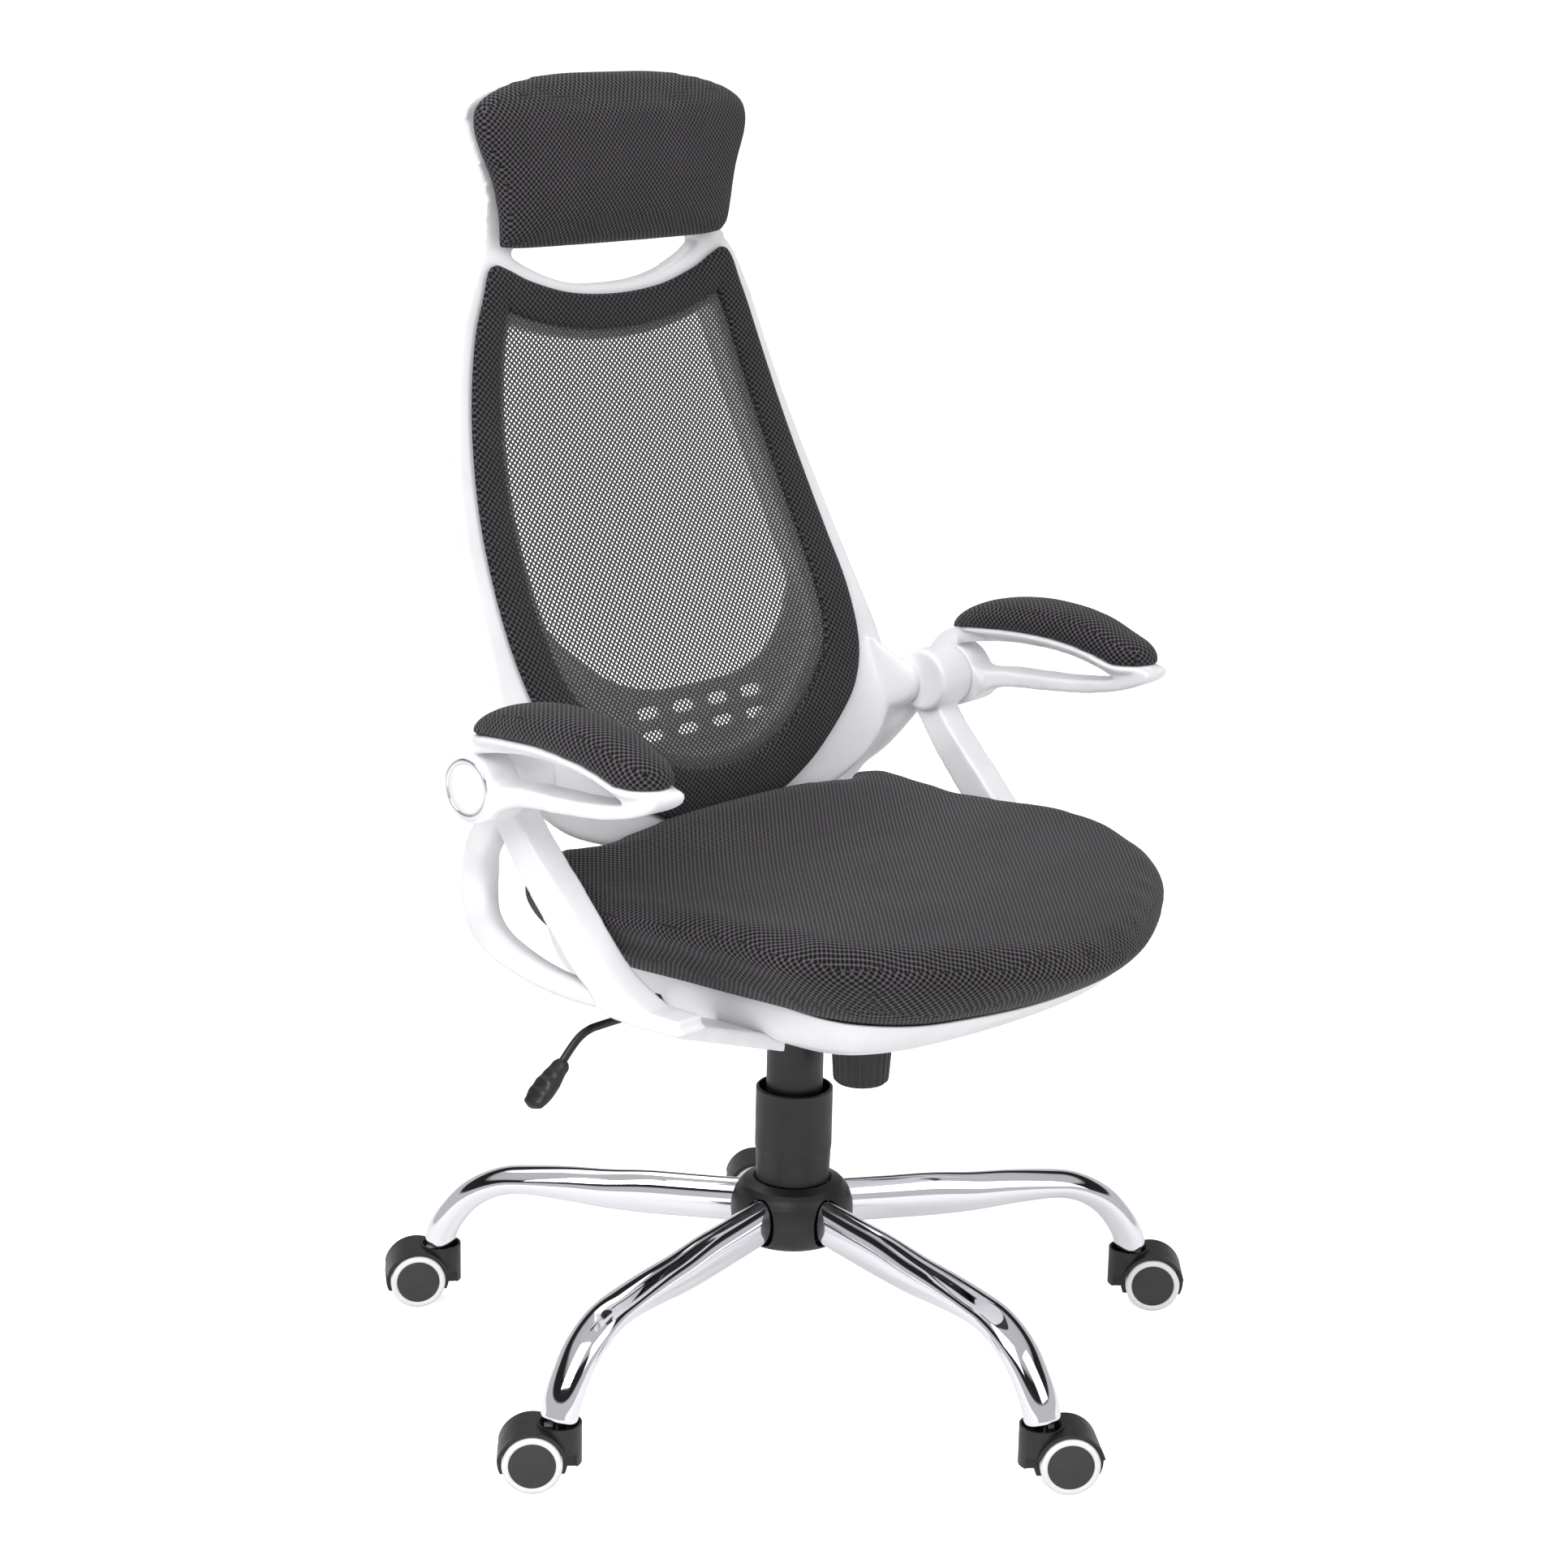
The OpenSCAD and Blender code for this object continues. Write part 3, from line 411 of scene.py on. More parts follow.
def knit(name, thread, hole, cell, hole_r):
    """Padded 3-D mesh fabric: rounded, slightly shiny yarns round staggered holes of painted shade.
    """
    m = Nodes(name, Base_Color=thread, Specular_IOR_Level=0.3, Sheen_Weight=0.08,
              Sheen_Roughness=0.5)
    where = m.place()
    x, y, z = m.split(where)
    # the pattern seen along each axis, blended by how far the surface faces that way
    facing = m.vector("ABSOLUTE", m.add("TexCoord", output=1))
    weights = [m.math("POWER", share, 8.0) for share in m.split(facing)]
    sides = [hole_distance(m, u, v, cell) for u, v in ((y, z), (x, z), (x, y))]
    parts = [m.math("MULTIPLY", w, d) for w, d in zip(weights, sides)]
    near = m.math("DIVIDE", m.total(parts), m.total(weights))
    yarn = m.ramp(near, hole_r * 0.8, hole_r * 1.12)
    tone = m.spread(m.noise(where, 0.015), 0.88, 1.1)
    fuzz = m.spread(m.noise(where, 2.5, 2.0), 0.8, 1.2)
    shade = m.math("MULTIPLY", m.math("MULTIPLY", tone, fuzz), 0.5)
    lit = m.mix(shade, (0, 0, 0), tuple(2 * c for c in thread))
    # the holes take the near-black hole colour: painted shade inside each hole
    m.link(m.mix(yarn, hole, lit), "Base Color")
    m.link(m.ramp(yarn, 0.0, 1.0, 0.95, 0.62), "Roughness")
    m.link(m.bump(yarn, 0.9, 0.5, m.bump(m.noise(where, 1.2), 0.25, 0.3)), "Normal")
    return m.material


def net_yarn(name, colour, dark, light):
    """Thin matt yarn of uneven shade."""
    m = Nodes(name, Base_Color=colour, Sheen_Weight=0.1)
    where = m.place()
    m.link(m.spread(m.noise(where, 1.5), 0.5, 0.75), "Roughness")
    m.link(m.mix(m.spread(m.noise(where, 0.8)), dark, light), "Base Color")
    m.link(m.bump(m.noise(where, 2.0), 0.4, 0.2), "Normal")
    return m.material


WHITE = plastic("white_moulded", (0.80, 0.80, 0.825), 0.33, 0.10, 0.9, coat=0.15)
BLACK = plastic("black_moulded", (0.009, 0.009, 0.010), 0.42, 0.55, 0.7)
BLACK_METAL = plastic("black_paint", (0.009, 0.009, 0.010), 0.42, 0.25, 0.5)
WHEEL_CORE = plastic("wheel_core", (0.030, 0.030, 0.031), 0.55, 0.9, 1.1)
TREAD = plastic("tread_pale", (0.78, 0.78, 0.77), 0.45, 0.15, 1.0)
WOOD = plastic("plywood", (0.42, 0.28, 0.14), 0.6, 0.3, 2.0)
CHROME = chrome("chrome", (0.86, 0.86, 0.90), 0.035)
STEEL = chrome("zinc_steel", (0.55, 0.55, 0.57), 0.22)
# the hole colour is near black: painted shade inside the knit's holes
YARN, HOLE_SHADE = (0.080, 0.070, 0.082), (0.002, 0.002, 0.002)
FABRIC = knit("seat_knit", YARN, HOLE_SHADE, (5.0, 5.0), 1.55)
BORDER = knit("border_knit", (0.062, 0.055, 0.065), HOLE_SHADE, (6.0, 5.1), 1.75)
NET = net_yarn("net_yarn", (0.03, 0.028, 0.031), (0.020, 0.019, 0.021), (0.042, 0.039, 0.044))


def finish_piece(obj, material, slot, *nodes):
    """Gives a piece its material, and lets it stand for CAD nodes on their body. The slot is not
    used.
    """
    if material is not None:
        obj.data.materials.clear()
        obj.data.materials.append(material)
    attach(obj, BODY_OF[nodes[0]])
    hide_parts(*nodes)


def dress(node, material, bevel=0.0):
    """Gives a CAD node that stays in view its material, and eases its edges."""
    obj = frame["nodes"][node]
    if not obj.material_slots:
        obj.data.materials.append(material)
    for s in obj.material_slots:
        s.link = "OBJECT"
        s.material = material
    if bevel:
        ease_edges(obj, width=bevel, angle=40)


# ---- soft goods ----


PRESSURE = 4.0
STIFFNESS = 12
CLOTH_MASS = 0.3
CLOTH_FRAMES = 20


def swollen(obj, cap, held):
    """The cover's points after a cloth simulation has blown it up."""
    start = coordinates(obj.data)
    group = obj.vertex_groups.new(name="held")
    group.add([int(i) for i in np.flatnonzero(held(start / MM))], 1.0, "REPLACE")
    s = obj.modifiers.new("cloth", "CLOTH").settings
    s.use_pressure, s.uniform_pressure_force = True, PRESSURE
    s.quality, s.mass = 4, CLOTH_MASS
    s.tension_stiffness = s.compression_stiffness = STIFFNESS
    s.effector_weights.gravity = 0
    s.vertex_group_mass = "held"
    scene = bpy.context.scene
    for f in range(1, CLOTH_FRAMES + 1):
        scene.frame_set(f)
    graph = bpy.context.evaluated_depsgraph_get()
    after = bpy.data.meshes.new_from_object(obj.evaluated_get(graph))
    # the cloth only ever swells outward, and no further than the cap
    out = normals(obj)
    far = ((coordinates(after) - start) * out).sum(1, keepdims=True)
    obj.modifiers.clear()
    obj.vertex_groups.clear()
    bpy.data.meshes.remove(after)
    scene.frame_set(1)
    return start + np.clip(far, 0, cap * MM) * out


def inflate(obj, voxel, cap, held):
    """Stuffs a closed cover: remeshes it evenly, blows it up by no more than cap millimetres
    and smooths it. held(points) is true where the cover is fixed to its board."""
    one_skin(obj, voxel, 3)
    place(obj, swollen(obj, cap, held))
    soften(obj, 10)
    m = obj.modifiers.new("fine", "SUBSURF")
    m.levels = m.render_levels = 1
    apply_modifiers(obj)


# ---- seat ----

SEAT_MID_Y = -95
SEAT_HALF = [
    (0, -334, 434), (50, -324, 434), (98, -304, 436), (150, -275, 438), (199, -240, 442),
    (231, -195, 449), (246, -135, 455), (254, -60, 455), (252, 20, 450), (247, 62, 450),
    (233, 98, 452), (212, 112, 455), (189, 104, 457), (166, 86, 462), (100, 82, 472), (0, 80, 476),
]
EDGE_HALF = [
    (0, -289, 398), (50, -285, 398), (99, -273, 398), (144, -255, 398), (176, -226, 399),
    (190, -192, 400), (192, -135, 402), (194, -60, 402), (200, 20, 401), (209, 64, 405),
    (214, 97, 418), (200, 107, 428), (180, 98, 431), (158, 84, 434), (100, 78, 435), (0, 76, 435),
]
edge_top = curve([(-340, 442), (-300, 449), (-250, 458), (-200, 468), (-110, 476), (-40, 471),
                  (20, 465), (130, 465)])
middle_top = curve([(-340, 444), (-300, 453), (-250, 460), (-200, 464), (-100, 464), (0, 470),
                    (50, 490), (84, 506), (130, 506)])
seat_loop = smooth_loop(mirrored(SEAT_HALF), 6)
edge_loop = smooth_loop(mirrored(EDGE_HALF), 6)
SEAT_HALF_W = 254
BOARD_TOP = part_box("seat_board")[1].z / MM


def seat_side(f, t, dz=0.0):
    """A ring of the seat, from its lower edge (t = 0) to its widest line (t = 1)."""
    p = edge_loop + (seat_loop - edge_loop) * t
    return np.stack([f * p[:, 0], SEAT_MID_Y + f * (p[:, 1] - SEAT_MID_Y), p[:, 2] + dz], 1)


def seat_top(f, dz):
    p = seat_side(f, 1)
    share = np.minimum(1, (p[:, 0] / SEAT_HALF_W) ** 2)
    p[:, 2] = middle_top(p[:, 1]) * (1 - share) + edge_top(p[:, 1]) * share + dz
    return p


def seat_flat(f, z):
    p = seat_side(f, 1)
    p[:, 2] = z
    return p


def build_seat():
    floor = BOARD_TOP + 1
    under = [seat_flat(f, floor) for f in (0.02, 0.3, 0.62)] + [seat_side(0.9, 0, -2)]
    side = [seat_side(0.955, 0.0, 3), seat_side(0.975, 0.25), seat_side(0.983, 0.6, -1),
            seat_side(0.983, 1)]
    top = [seat_top(f, dz) for f, dz in (
        (0.972, -11), (0.95, -6), (0.91, -3.5), (0.82, -3), (0.7, -3), (0.5, -3), (0.3, -3),
        (0.02, -3))]
    cushion = loft("seat_cushion_cover", under + side + top)
    inflate(cushion, voxel=5, cap=5.5, held=lambda p: p[:, 2] < BOARD_TOP + 6)
    fit_box(cushion, "seat_cushion")
    finish_piece(cushion, FABRIC, "seat_fabric", "seat_cushion")


SHELL_WALL = 3
SHELL_BOTTOM = 350
SHELL_OPENING = ((-64, -128, 300), (64, 58, 420))
LEVER_SLOT = ((-400, -14, 300), (0, 6, 380))
shell_climb = curve([(0.3, 0), (0.6, 0), (0.74, 0.05), (0.85, 0.2), (0.93, 0.46), (0.97, 0.76),
                     (0.985, 1)])


def shell_ring(f, climb, dz=0.0):
    """A ring of the pan, from its bottom (climb = 0) to the seat's lower edge (climb = 1)."""
    p = seat_side(f, 0)
    low = SHELL_BOTTOM + 0.0011 * np.maximum(-120 - p[:, 1], 0) ** 2
    low = np.minimum(low, p[:, 2])
    p[:, 2] = low + (p[:, 2] - low) * climb + dz
    return p


def build_shell():
    stations = [0.05, 0.3, 0.5, 0.6, 0.66, 0.7, 0.74, 0.78, 0.82, 0.85, 0.88, 0.905, 0.93, 0.945,
                0.958, 0.97, 0.978]
    outer = [shell_ring(f, float(shell_climb(f))) for f in stations]
    rim = [shell_ring(0.984, 0.96), shell_ring(0.985, 1), shell_ring(0.981, 1, 0.7),
           shell_ring(0.975, 1, 0.5)]
    inner = [shell_ring(f - 0.014, float(shell_climb(f)), SHELL_WALL)
             for f in reversed(stations[1:])]
    shell = loft("seat_shell_pan", outer + rim + inner)
    cut(shell, block("opening", *SHELL_OPENING), block("slot", *LEVER_SLOT))
    ease_edges(shell, width=0.8, angle=50)
    apply_modifiers(shell)
    finish_piece(shell, WHITE, "white_plastic", "seat_shell")


# ---- back ----

back_y = curve([(460, 88), (520, 91), (560, 99), (600, 115), (650, 138), (700, 163), (750, 185),
                (800, 203), (850, 217), (900, 227), (950, 233), (1000, 244), (1050, 250),
                (1110, 247)])
# Right half of the net's outline: x, z, the frame's width outside it and the border's width inside
MESH_HALF = [
    (0, 478, 24, 46), (60, 484, 26, 46), (110, 506, 38, 46), (155, 538, 54, 46), (188, 568, 55, 45),
    (208, 602, 36, 43), (215, 650, 21, 41), (212, 700, 18, 38), (206, 750, 16, 36),
    (197, 800, 14, 34), (186, 850, 12.5, 33), (172, 900, 12, 31), (160, 930, 11, 31),
    (151, 952, 8, 32), (140, 958, 6, 33), (125, 953, 6, 33), (100, 942, 7, 33), (55, 930, 6, 32),
    (0, 926, 5, 32),
]
HEAD_HALF_W = [
    (925, 171), (945, 164), (970, 150), (995, 141), (1020, 137), (1050, 146), (1080, 158),
    (1092, 152), (1101, 132), (1106, 100),
]
RIM_BEYOND = 10
RIM_DEPTH = 24
RIM_WALL = 3.5
FRAME_FRONT = 2.2
HEAD_FRONT = 2.6
HEAD_WALL, HEAD_EDGE, HEAD_TAPER = 8, 24, 18
# The window under the head plate: height of its middle, height and reach of its tips
HEAD_WINDOW = (932, 962, 117)
LOOP_STEPS = 8


def on_back(p, dy):
    """A front-view point (x, z) laid on the back's curved surface, dy behind it."""
    return np.array([p[0], back_y(p[1]) + dy, p[1]])


def outward(loop):
    """Unit vectors square to a front-view loop, pointing out of it."""
    t = np.roll(loop[:, :2], -1, 0) - np.roll(loop[:, :2], 1, 0)
    t /= np.linalg.norm(t, axis=1, keepdims=True)
    return np.stack([t[:, 1], -t[:, 0]], 1)


mesh_loop = smooth_loop(mirrored(MESH_HALF), LOOP_STEPS)
out_dir = outward(mesh_loop)
mesh_line = mesh_loop[:, :2]
frame_line = mesh_line + mesh_loop[:, 2:3] * out_dir


def inner_line(beyond):
    """The net's outline moved in past the border, smoothed where it kinks."""
    line = mesh_line - (mesh_loop[:, 3:4] + beyond) * out_dir
    for _ in range(40):
        line = 0.5 * line + 0.25 * (np.roll(line, 1, 0) + np.roll(line, -1, 0))
    return line


border_line = inner_line(0)
window_line = inner_line(RIM_BEYOND)


def frame_section(i):
    """Section of the frame: a rounded lip, a front web, a wall sloping in and a window rim."""
    o, n = frame_line[i], window_line[i]
    w = np.linalg.norm(n - o)
    d = (n - o) / w
    slope, t = min(26, w - 14), RIM_WALL
    section = [
        (1.6, 0.0), (0.3, 1.2), (0.0, 3.0), (0.6, 5.0), (slope * 0.5, 14.5), (slope, RIM_DEPTH),
        (slope + t, RIM_DEPTH), (slope * 0.5 + 5.5, 15.5), (9, 8), (w - t - 3, 7.6), (w - t, 9.5),
        (w - t, RIM_DEPTH - 1), (w - t * 0.5, RIM_DEPTH), (w, RIM_DEPTH - 1.5), (w, 3.0),
        (w - 1.2, 0.4), (w - 3, 0), (w * 0.5, 0),
    ]
    return [on_back(o + a * d, FRAME_FRONT + b) if a < w * 0.5 else
            on_back(n - (w - a) * d, FRAME_FRONT + b) for a, b in section]


def crescent(low, high, tip_x):
    """Outline of the window under the head plate, with its tips turned up."""
    x = np.linspace(-tip_x, tip_x, 41)
    bottom = [(v, low + (high - low) * (abs(v) / tip_x) ** 2.4) for v in x]
    return bottom + [(tip_x - 4, high + 8), (-tip_x + 4, high + 8)]


def plate_ring(z, w, y0, y1, taper=0.0):
    """A level slice of half width w, narrower behind by the taper."""
    return [(-w, y0, z), (w, y0, z), (w - taper, y1, z), (-w + taper, y1, z)]


PANEL_Z = (486, 703, 6)
PANEL_DEPTHS = (14, 18)
SLOT_SHAPE = [(-13, 0), (-12, 4), (0, 4.8), (12, 4), (13, 0), (12, -4), (0, -4.8), (-12, -4)]
SLOT_ROWS, SLOT_COLUMNS = (557, 576), (-66, -22, 22, 66)
THROUGH = 400


def panel_half_w(z):
    return 60 + (z - 486) * 1.5 if z < 530 else 126 + (z - 530) * 0.5


def side_tab(s):
    """The lug that joins the frame to an arm's pivot; s is the side's sign."""
    turn = around(32)
    boss = [(250 * s, 95 + 21 * math.cos(a), 560 + 21 * math.sin(a)) for a in turn]
    mid = [(240 * s, 95.5 + 21.5 * math.cos(a), 561 + 23 * math.sin(a)) for a in turn]
    root = [(222 * s, back_y(566) + 11 + 9 * power(math.cos(a), 0.6),
             567 + 36 * power(math.sin(a), 0.6)) for a in turn]
    return loft("tab", [boss, mid, root])


def build_frame():
    ring = loft("back_shell", [frame_section(i) for i in range(len(mesh_loop))], ring_shaped=True)
    stations = smooth_path(HEAD_HALF_W, 4)
    head = loft("head", [
        plate_ring(z, w, back_y(z) + HEAD_FRONT, back_y(z) + RIM_DEPTH - 4, HEAD_TAPER)
        for z, w in stations])
    hollow = loft("hollow", [
        plate_ring(z, w - HEAD_EDGE, back_y(z) + HEAD_WALL, back_y(z) + THROUGH)
        for z, w in stations[8:-8]])
    window = plate("window", crescent(*HEAD_WINDOW), 0, THROUGH, "y")
    cut(head, hollow, window)
    # the panel behind the sitter's lower back, scooped at its top and with eight slots
    panel = loft("panel", [
        plate_ring(z, panel_half_w(z), *(back_y(z) + d for d in PANEL_DEPTHS))
        for z in range(*PANEL_Z)])
    dip = [(x, 592 + 60 * (abs(x) / 150) ** 3.2) for x in np.linspace(-230, 230, 61)]
    scoop = plate("scoop", dip + [(230, 900), (-230, 900)], 0, THROUGH, "y")
    slots = [plate("slot", smooth_loop([(x + u, z + v) for u, v in SLOT_SHAPE], 3),
                   0, THROUGH, "y") for z in SLOT_ROWS for x in SLOT_COLUMNS]
    cut(panel, scoop, *slots)
    join(ring, head, panel, side_tab(-1), side_tab(1))
    moulded(ring, voxel=2.0)
    finish_piece(ring, WHITE, "white_plastic", "back_frame", "head_plate")


NET_CELL = (5.7, 4.9)
NET_HOLE_R = 1.08
NET_UNDER_BORDER = 8
# points round a hole's diamond cell: its corners and the middles of its sides
NET_RIM = [(1, 0), (0.5, 0.5), (0, 1), (-0.5, 0.5), (-1, 0), (-0.5, -0.5), (0, -1), (0.5, -0.5)]


def inside(points, line):
    """True for each front-view point inside the closed line."""
    hit = np.zeros(len(points), bool)
    for a, b in zip(line, np.roll(line, -1, 0)):
        crosses = (a[1] > points[:, 1]) != (b[1] > points[:, 1])
        with np.errstate(divide="ignore", invalid="ignore"):
            x = a[0] + (points[:, 1] - a[1]) * (b[0] - a[0]) / (b[1] - a[1])
        hit ^= crosses & (points[:, 0] < x)
    return hit


def build_net():
    """The see-through net: yarn round real staggered holes, inside the border's inner edge."""
    edge = border_line + NET_UNDER_BORDER * outward(border_line)
    a, b = NET_CELL[0] / 2, NET_CELL[1] / 2
    low, high = edge.min(0), edge.max(0)
    spots = [(i, j) for j in range(int(low[1] / b), int(high[1] / b) + 2)
             for i in range(int(low[0] / a) - 2, int(high[0] / a) + 3) if (i + j) % 2 == 0]
    spots = np.array(spots)
    spots = spots[inside(spots * (a, b), edge)]
    index, points, faces = {}, [], []
    for i, j in spots:
        outer = []
        for u, v in NET_RIM:
            key = (2 * i + int(2 * u), 2 * j + int(2 * v))
            if key not in index:
                index[key] = len(points)
                points.append((key[0] * a / 2, key[1] * b / 2))
            outer.append(index[key])
        first = len(points)
        for u, v in NET_RIM:
            # the hole reaches further towards its cell's corners
            r = NET_HOLE_R * (1.12 if u == 0 or v == 0 else 0.94) / math.hypot(u, v)
            points.append((i * a + u * r, j * b + v * r))
        for k in range(8):
            after = (k + 1) % 8
            faces.append((outer[k], outer[after], first + after, first + k))
    flat = np.array(points)
    net = make_mesh("back_net", np.stack([flat[:, 0], back_y(flat[:, 1]), flat[:, 1]], 1), faces)
    # the length of the back's curve over the net's height, which nothing uses
    z = np.linspace(low[1], high[1], 60)
    length = float(np.hypot(np.diff(z), np.diff(back_y(z))).sum())
    finish_piece(net, NET, "back_net", "back_mesh")


# The band's section: share of the way in from the frame, and distance behind the back's surface,
# which is negative in front of it
BORDER_SECTION = [
    (0, -2.2), (0.06, -4.4), (0.2, -5.6), (0.5, -6.0), (0.8, -5.4), (0.95, -4.0), (1, -2.4),
    (0.95, -1.4), (0.5, -1.2), (0.05, -1.2),
]
BORDER_GAP = 0.9


def build_border():
    """The double-layer band round the net: a flat tube of cloth with soft edges."""
    outer = mesh_line - BORDER_GAP * out_dir
    rings = [[on_back(o + t * (n - o), dy) for t, dy in BORDER_SECTION]
             for o, n in zip(outer, border_line)]
    border = loft("net_border", rings, ring_shaped=True)
    # the band's middle line on the back's surface, which nothing uses
    middle = np.array([on_back((o + n) / 2, 0) for o, n in zip(outer, border_line)])
    finish_piece(border, BORDER, "border_fabric", "mesh_border")


# Stations of the headrest: height, half width and thickness
HEADREST = [
    (969, 139, 14), (978, 142, 28), (1000, 143, 40), (1025, 148, 46), (1050, 160, 46),
    (1070, 167, 43), (1084, 164, 37), (1095, 148, 29), (1104, 118, 21), (1110, 76, 13),
    (1114, 28, 6),
]
COVER_SLACK = 3
COVER_TOP = 1111.5


def build_headrest():
    turn = around(64)
    rings = []
    for z, w, t in smooth_path(HEADREST, 4):
        y = back_y(z) + HEAD_FRONT
        w, t = max(w - COVER_SLACK, 2), max(t - COVER_SLACK, 3)
        depth = y - t / 2 + t / 2 * power(np.sin(turn), 0.95)
        level = np.full(len(turn), min(z, COVER_TOP))
        rings.append(np.stack([w * power(np.cos(turn), 0.7), depth, level], 1))
    pad = loft("headrest_cover", rings)
    inflate(pad, voxel=4, cap=4, held=lambda p: p[:, 1] > back_y(p[:, 2]) + 0.5)
    fit_box(pad, "headrest_pad")
    finish_piece(pad, FABRIC, "seat_fabric", "headrest_pad")


# ---- arms ----

STRUT = [
    (92, 572), (92, 546), (84, 532), (61, 500), (44, 480), (30, 464), (6, 438), (-12, 420),
    (-30, 407), (-42, 394), (-90, 391), (-132, 396), (-108, 402), (-86, 407), (-52, 424),
    (-24, 450), (4, 480), (24, 500), (44, 521), (58, 540), (62, 560),
]
# Stations of the rear arm: x, y, z and the tube's depth
REAR_ARM = [
    (264, 94, 547, 29), (251, 124, 505, 28), (239, 145, 484, 30), (231, 156, 462, 31),
    (231, 157, 441, 30), (238, 145, 422, 28), (252, 110, 410, 24), (263, 56, 402, 20),
    (270, 4, 400, 18), (273, -60, 402, 15),
]
PIVOT = (74, 564)
PIVOT_R = 28
EAR_X, HUB_X = (250, 292), (292.5, 321.8)
STRUT_X = (258, 286)
STRUT_FOOT_Y, STRUT_FOOT_Z = (-126, -52), (393, 405)
REAR_ARM_HALF_W = 12
ARM_MID_X = 306
ARM_HALF_W = 16
SPLAY = math.radians(3)


def upright(name, *ends):
    """A bar between upright rectangles, each given as x, the y limits and the z limits."""
    return loft(name, [[(x, a, c), (x, b, c), (x, b, d), (x, a, d)] for x, (a, b), (c, d) in ends])


def build_bracket():
    strut = plate("bracket_l", smooth_loop(STRUT, 6), *STRUT_X)
    stations = smooth_path(REAR_ARM, 5)
    turn = around(28)
    rings = []
    for i, s in enumerate(stations):
        t = unit(stations[min(i + 1, len(stations) - 1)][:3] - stations[max(i - 1, 0)][:3])
        side = unit(np.cross(t, (1, 0, 0.2)))
        out = np.cross(side, t)
        rings.append([s[:3] + REAR_ARM_HALF_W * power(math.cos(a), 0.7) * out
                      + s[3] / 2 * power(math.sin(a), 0.7) * side for a in turn])
    arm = loft("arm", rings)
    cut(arm, block("trim", (0, 0, 530), (251, 400, 800)))
    ear = rod("ear", (EAR_X[0], *PIVOT), (EAR_X[1], *PIVOT), PIVOT_R, 64)
    foot = upright("foot", *((x, STRUT_FOOT_Y, STRUT_FOOT_Z) for x in STRUT_X))
    arm_foot = upright("arm_foot", (148, (-118, -70), (346, 358)), (284, (-126, -52), (392, 405)))
    join(strut, arm, ear, foot, arm_foot)
    moulded(strut, voxel=1.7)
    # the bracket stops where the shell's outer face begins
    above = [shell_ring(f, float(shell_climb(f)), -0.4)
             for f in (0.05, 0.3, 0.6, 0.7, 0.8, 0.88, 0.93, 0.96, 0.985)]
    cut(strut, loft("above", above + [shell_ring(0.985, 1, 60)]))
    twin = flipped(strut, "bracket_r")
    for obj, hand in ((strut, "l"), (twin, "r")):
        finish_piece(obj, WHITE, "white_plastic", "arm_bracket_" + hand)


ARMREST = [
    (98, 566), (97, 586), (80, 604), (52, 612), (6, 617), (-42, 617), (-82, 611), (-112, 602),
    (-134, 600), (-144, 597), (-141, 590), (-128, 583), (-106, 576), (-76, 570), (-36, 566),
    (10, 562), (36, 553), (50, 542), (74, 537),
]
ARMREST_HOLE = [
    (68, 592), (48, 599), (6, 605), (-42, 605), (-80, 599), (-106, 590), (-107, 586),
    (-82, 581), (-42, 577), (10, 575), (46, 573),
]
# The line the pad rests on, and the pad's plan: share of its length, share of its width, height
PAD_SEAT = [(80, 604), (52, 612), (6, 617), (-42, 617), (-82, 611), (-112, 602), (-130, 602)]
PAD_SHAPE = [
    (0, 0.3, 6), (0.03, 0.55, 12), (0.09, 0.78, 18), (0.2, 0.92, 24), (0.35, 1, 28), (0.5, 1, 29),
    (0.65, 0.98, 29), (0.8, 0.92, 28), (0.9, 0.8, 25), (0.97, 0.55, 18), (1, 0.28, 10),
]
PAD_Y = (74, -140)
PAD_W = 62


def splayed(obj):
    """Turns a left armrest's piece about its pivot so that its front stands further out."""
    pivot = Vector((ARM_MID_X, PIVOT[0], 0)) * MM
    turn = Matrix.Translation(pivot) @ Matrix.Rotation(SPLAY, 4, "Z") @ Matrix.Translation(-pivot)
    obj.data.transform(turn)
    return obj


def pad_rings(shrink):
    """Rings of the pad's cover, smaller all round by the shrink."""
    floor = curve(PAD_SEAT)
    turn = around(48)
    rings = []
    for f, w, h in smooth_path(PAD_SHAPE, 3):
        y = PAD_Y[0] - shrink + (PAD_Y[1] - PAD_Y[0] + 2 * shrink) * f
        z = floor(y) + 0.3
        half = max(PAD_W / 2 * w - shrink, 2)
        high = max(h - shrink, 2) * power(np.sin(turn), 0.8)
        up = np.where(np.sin(turn) > 0, high, 1.5 * np.sin(turn))
        across = ARM_MID_X + half * power(np.cos(turn), 0.7)
        rings.append(np.stack([across, np.full(len(turn), y), z + up], 1))
    return rings


RING_PROFILE = [(21, 322), (21, 324.2), (21.8, 324.9), (24, 324.9), (25, 324.2), (25, 322)]
CAP_PROFILE = [(0.2, 322), (20.8, 322), (20.8, 324), (20, 325), (12, 325.3), (0.2, 325.4)]


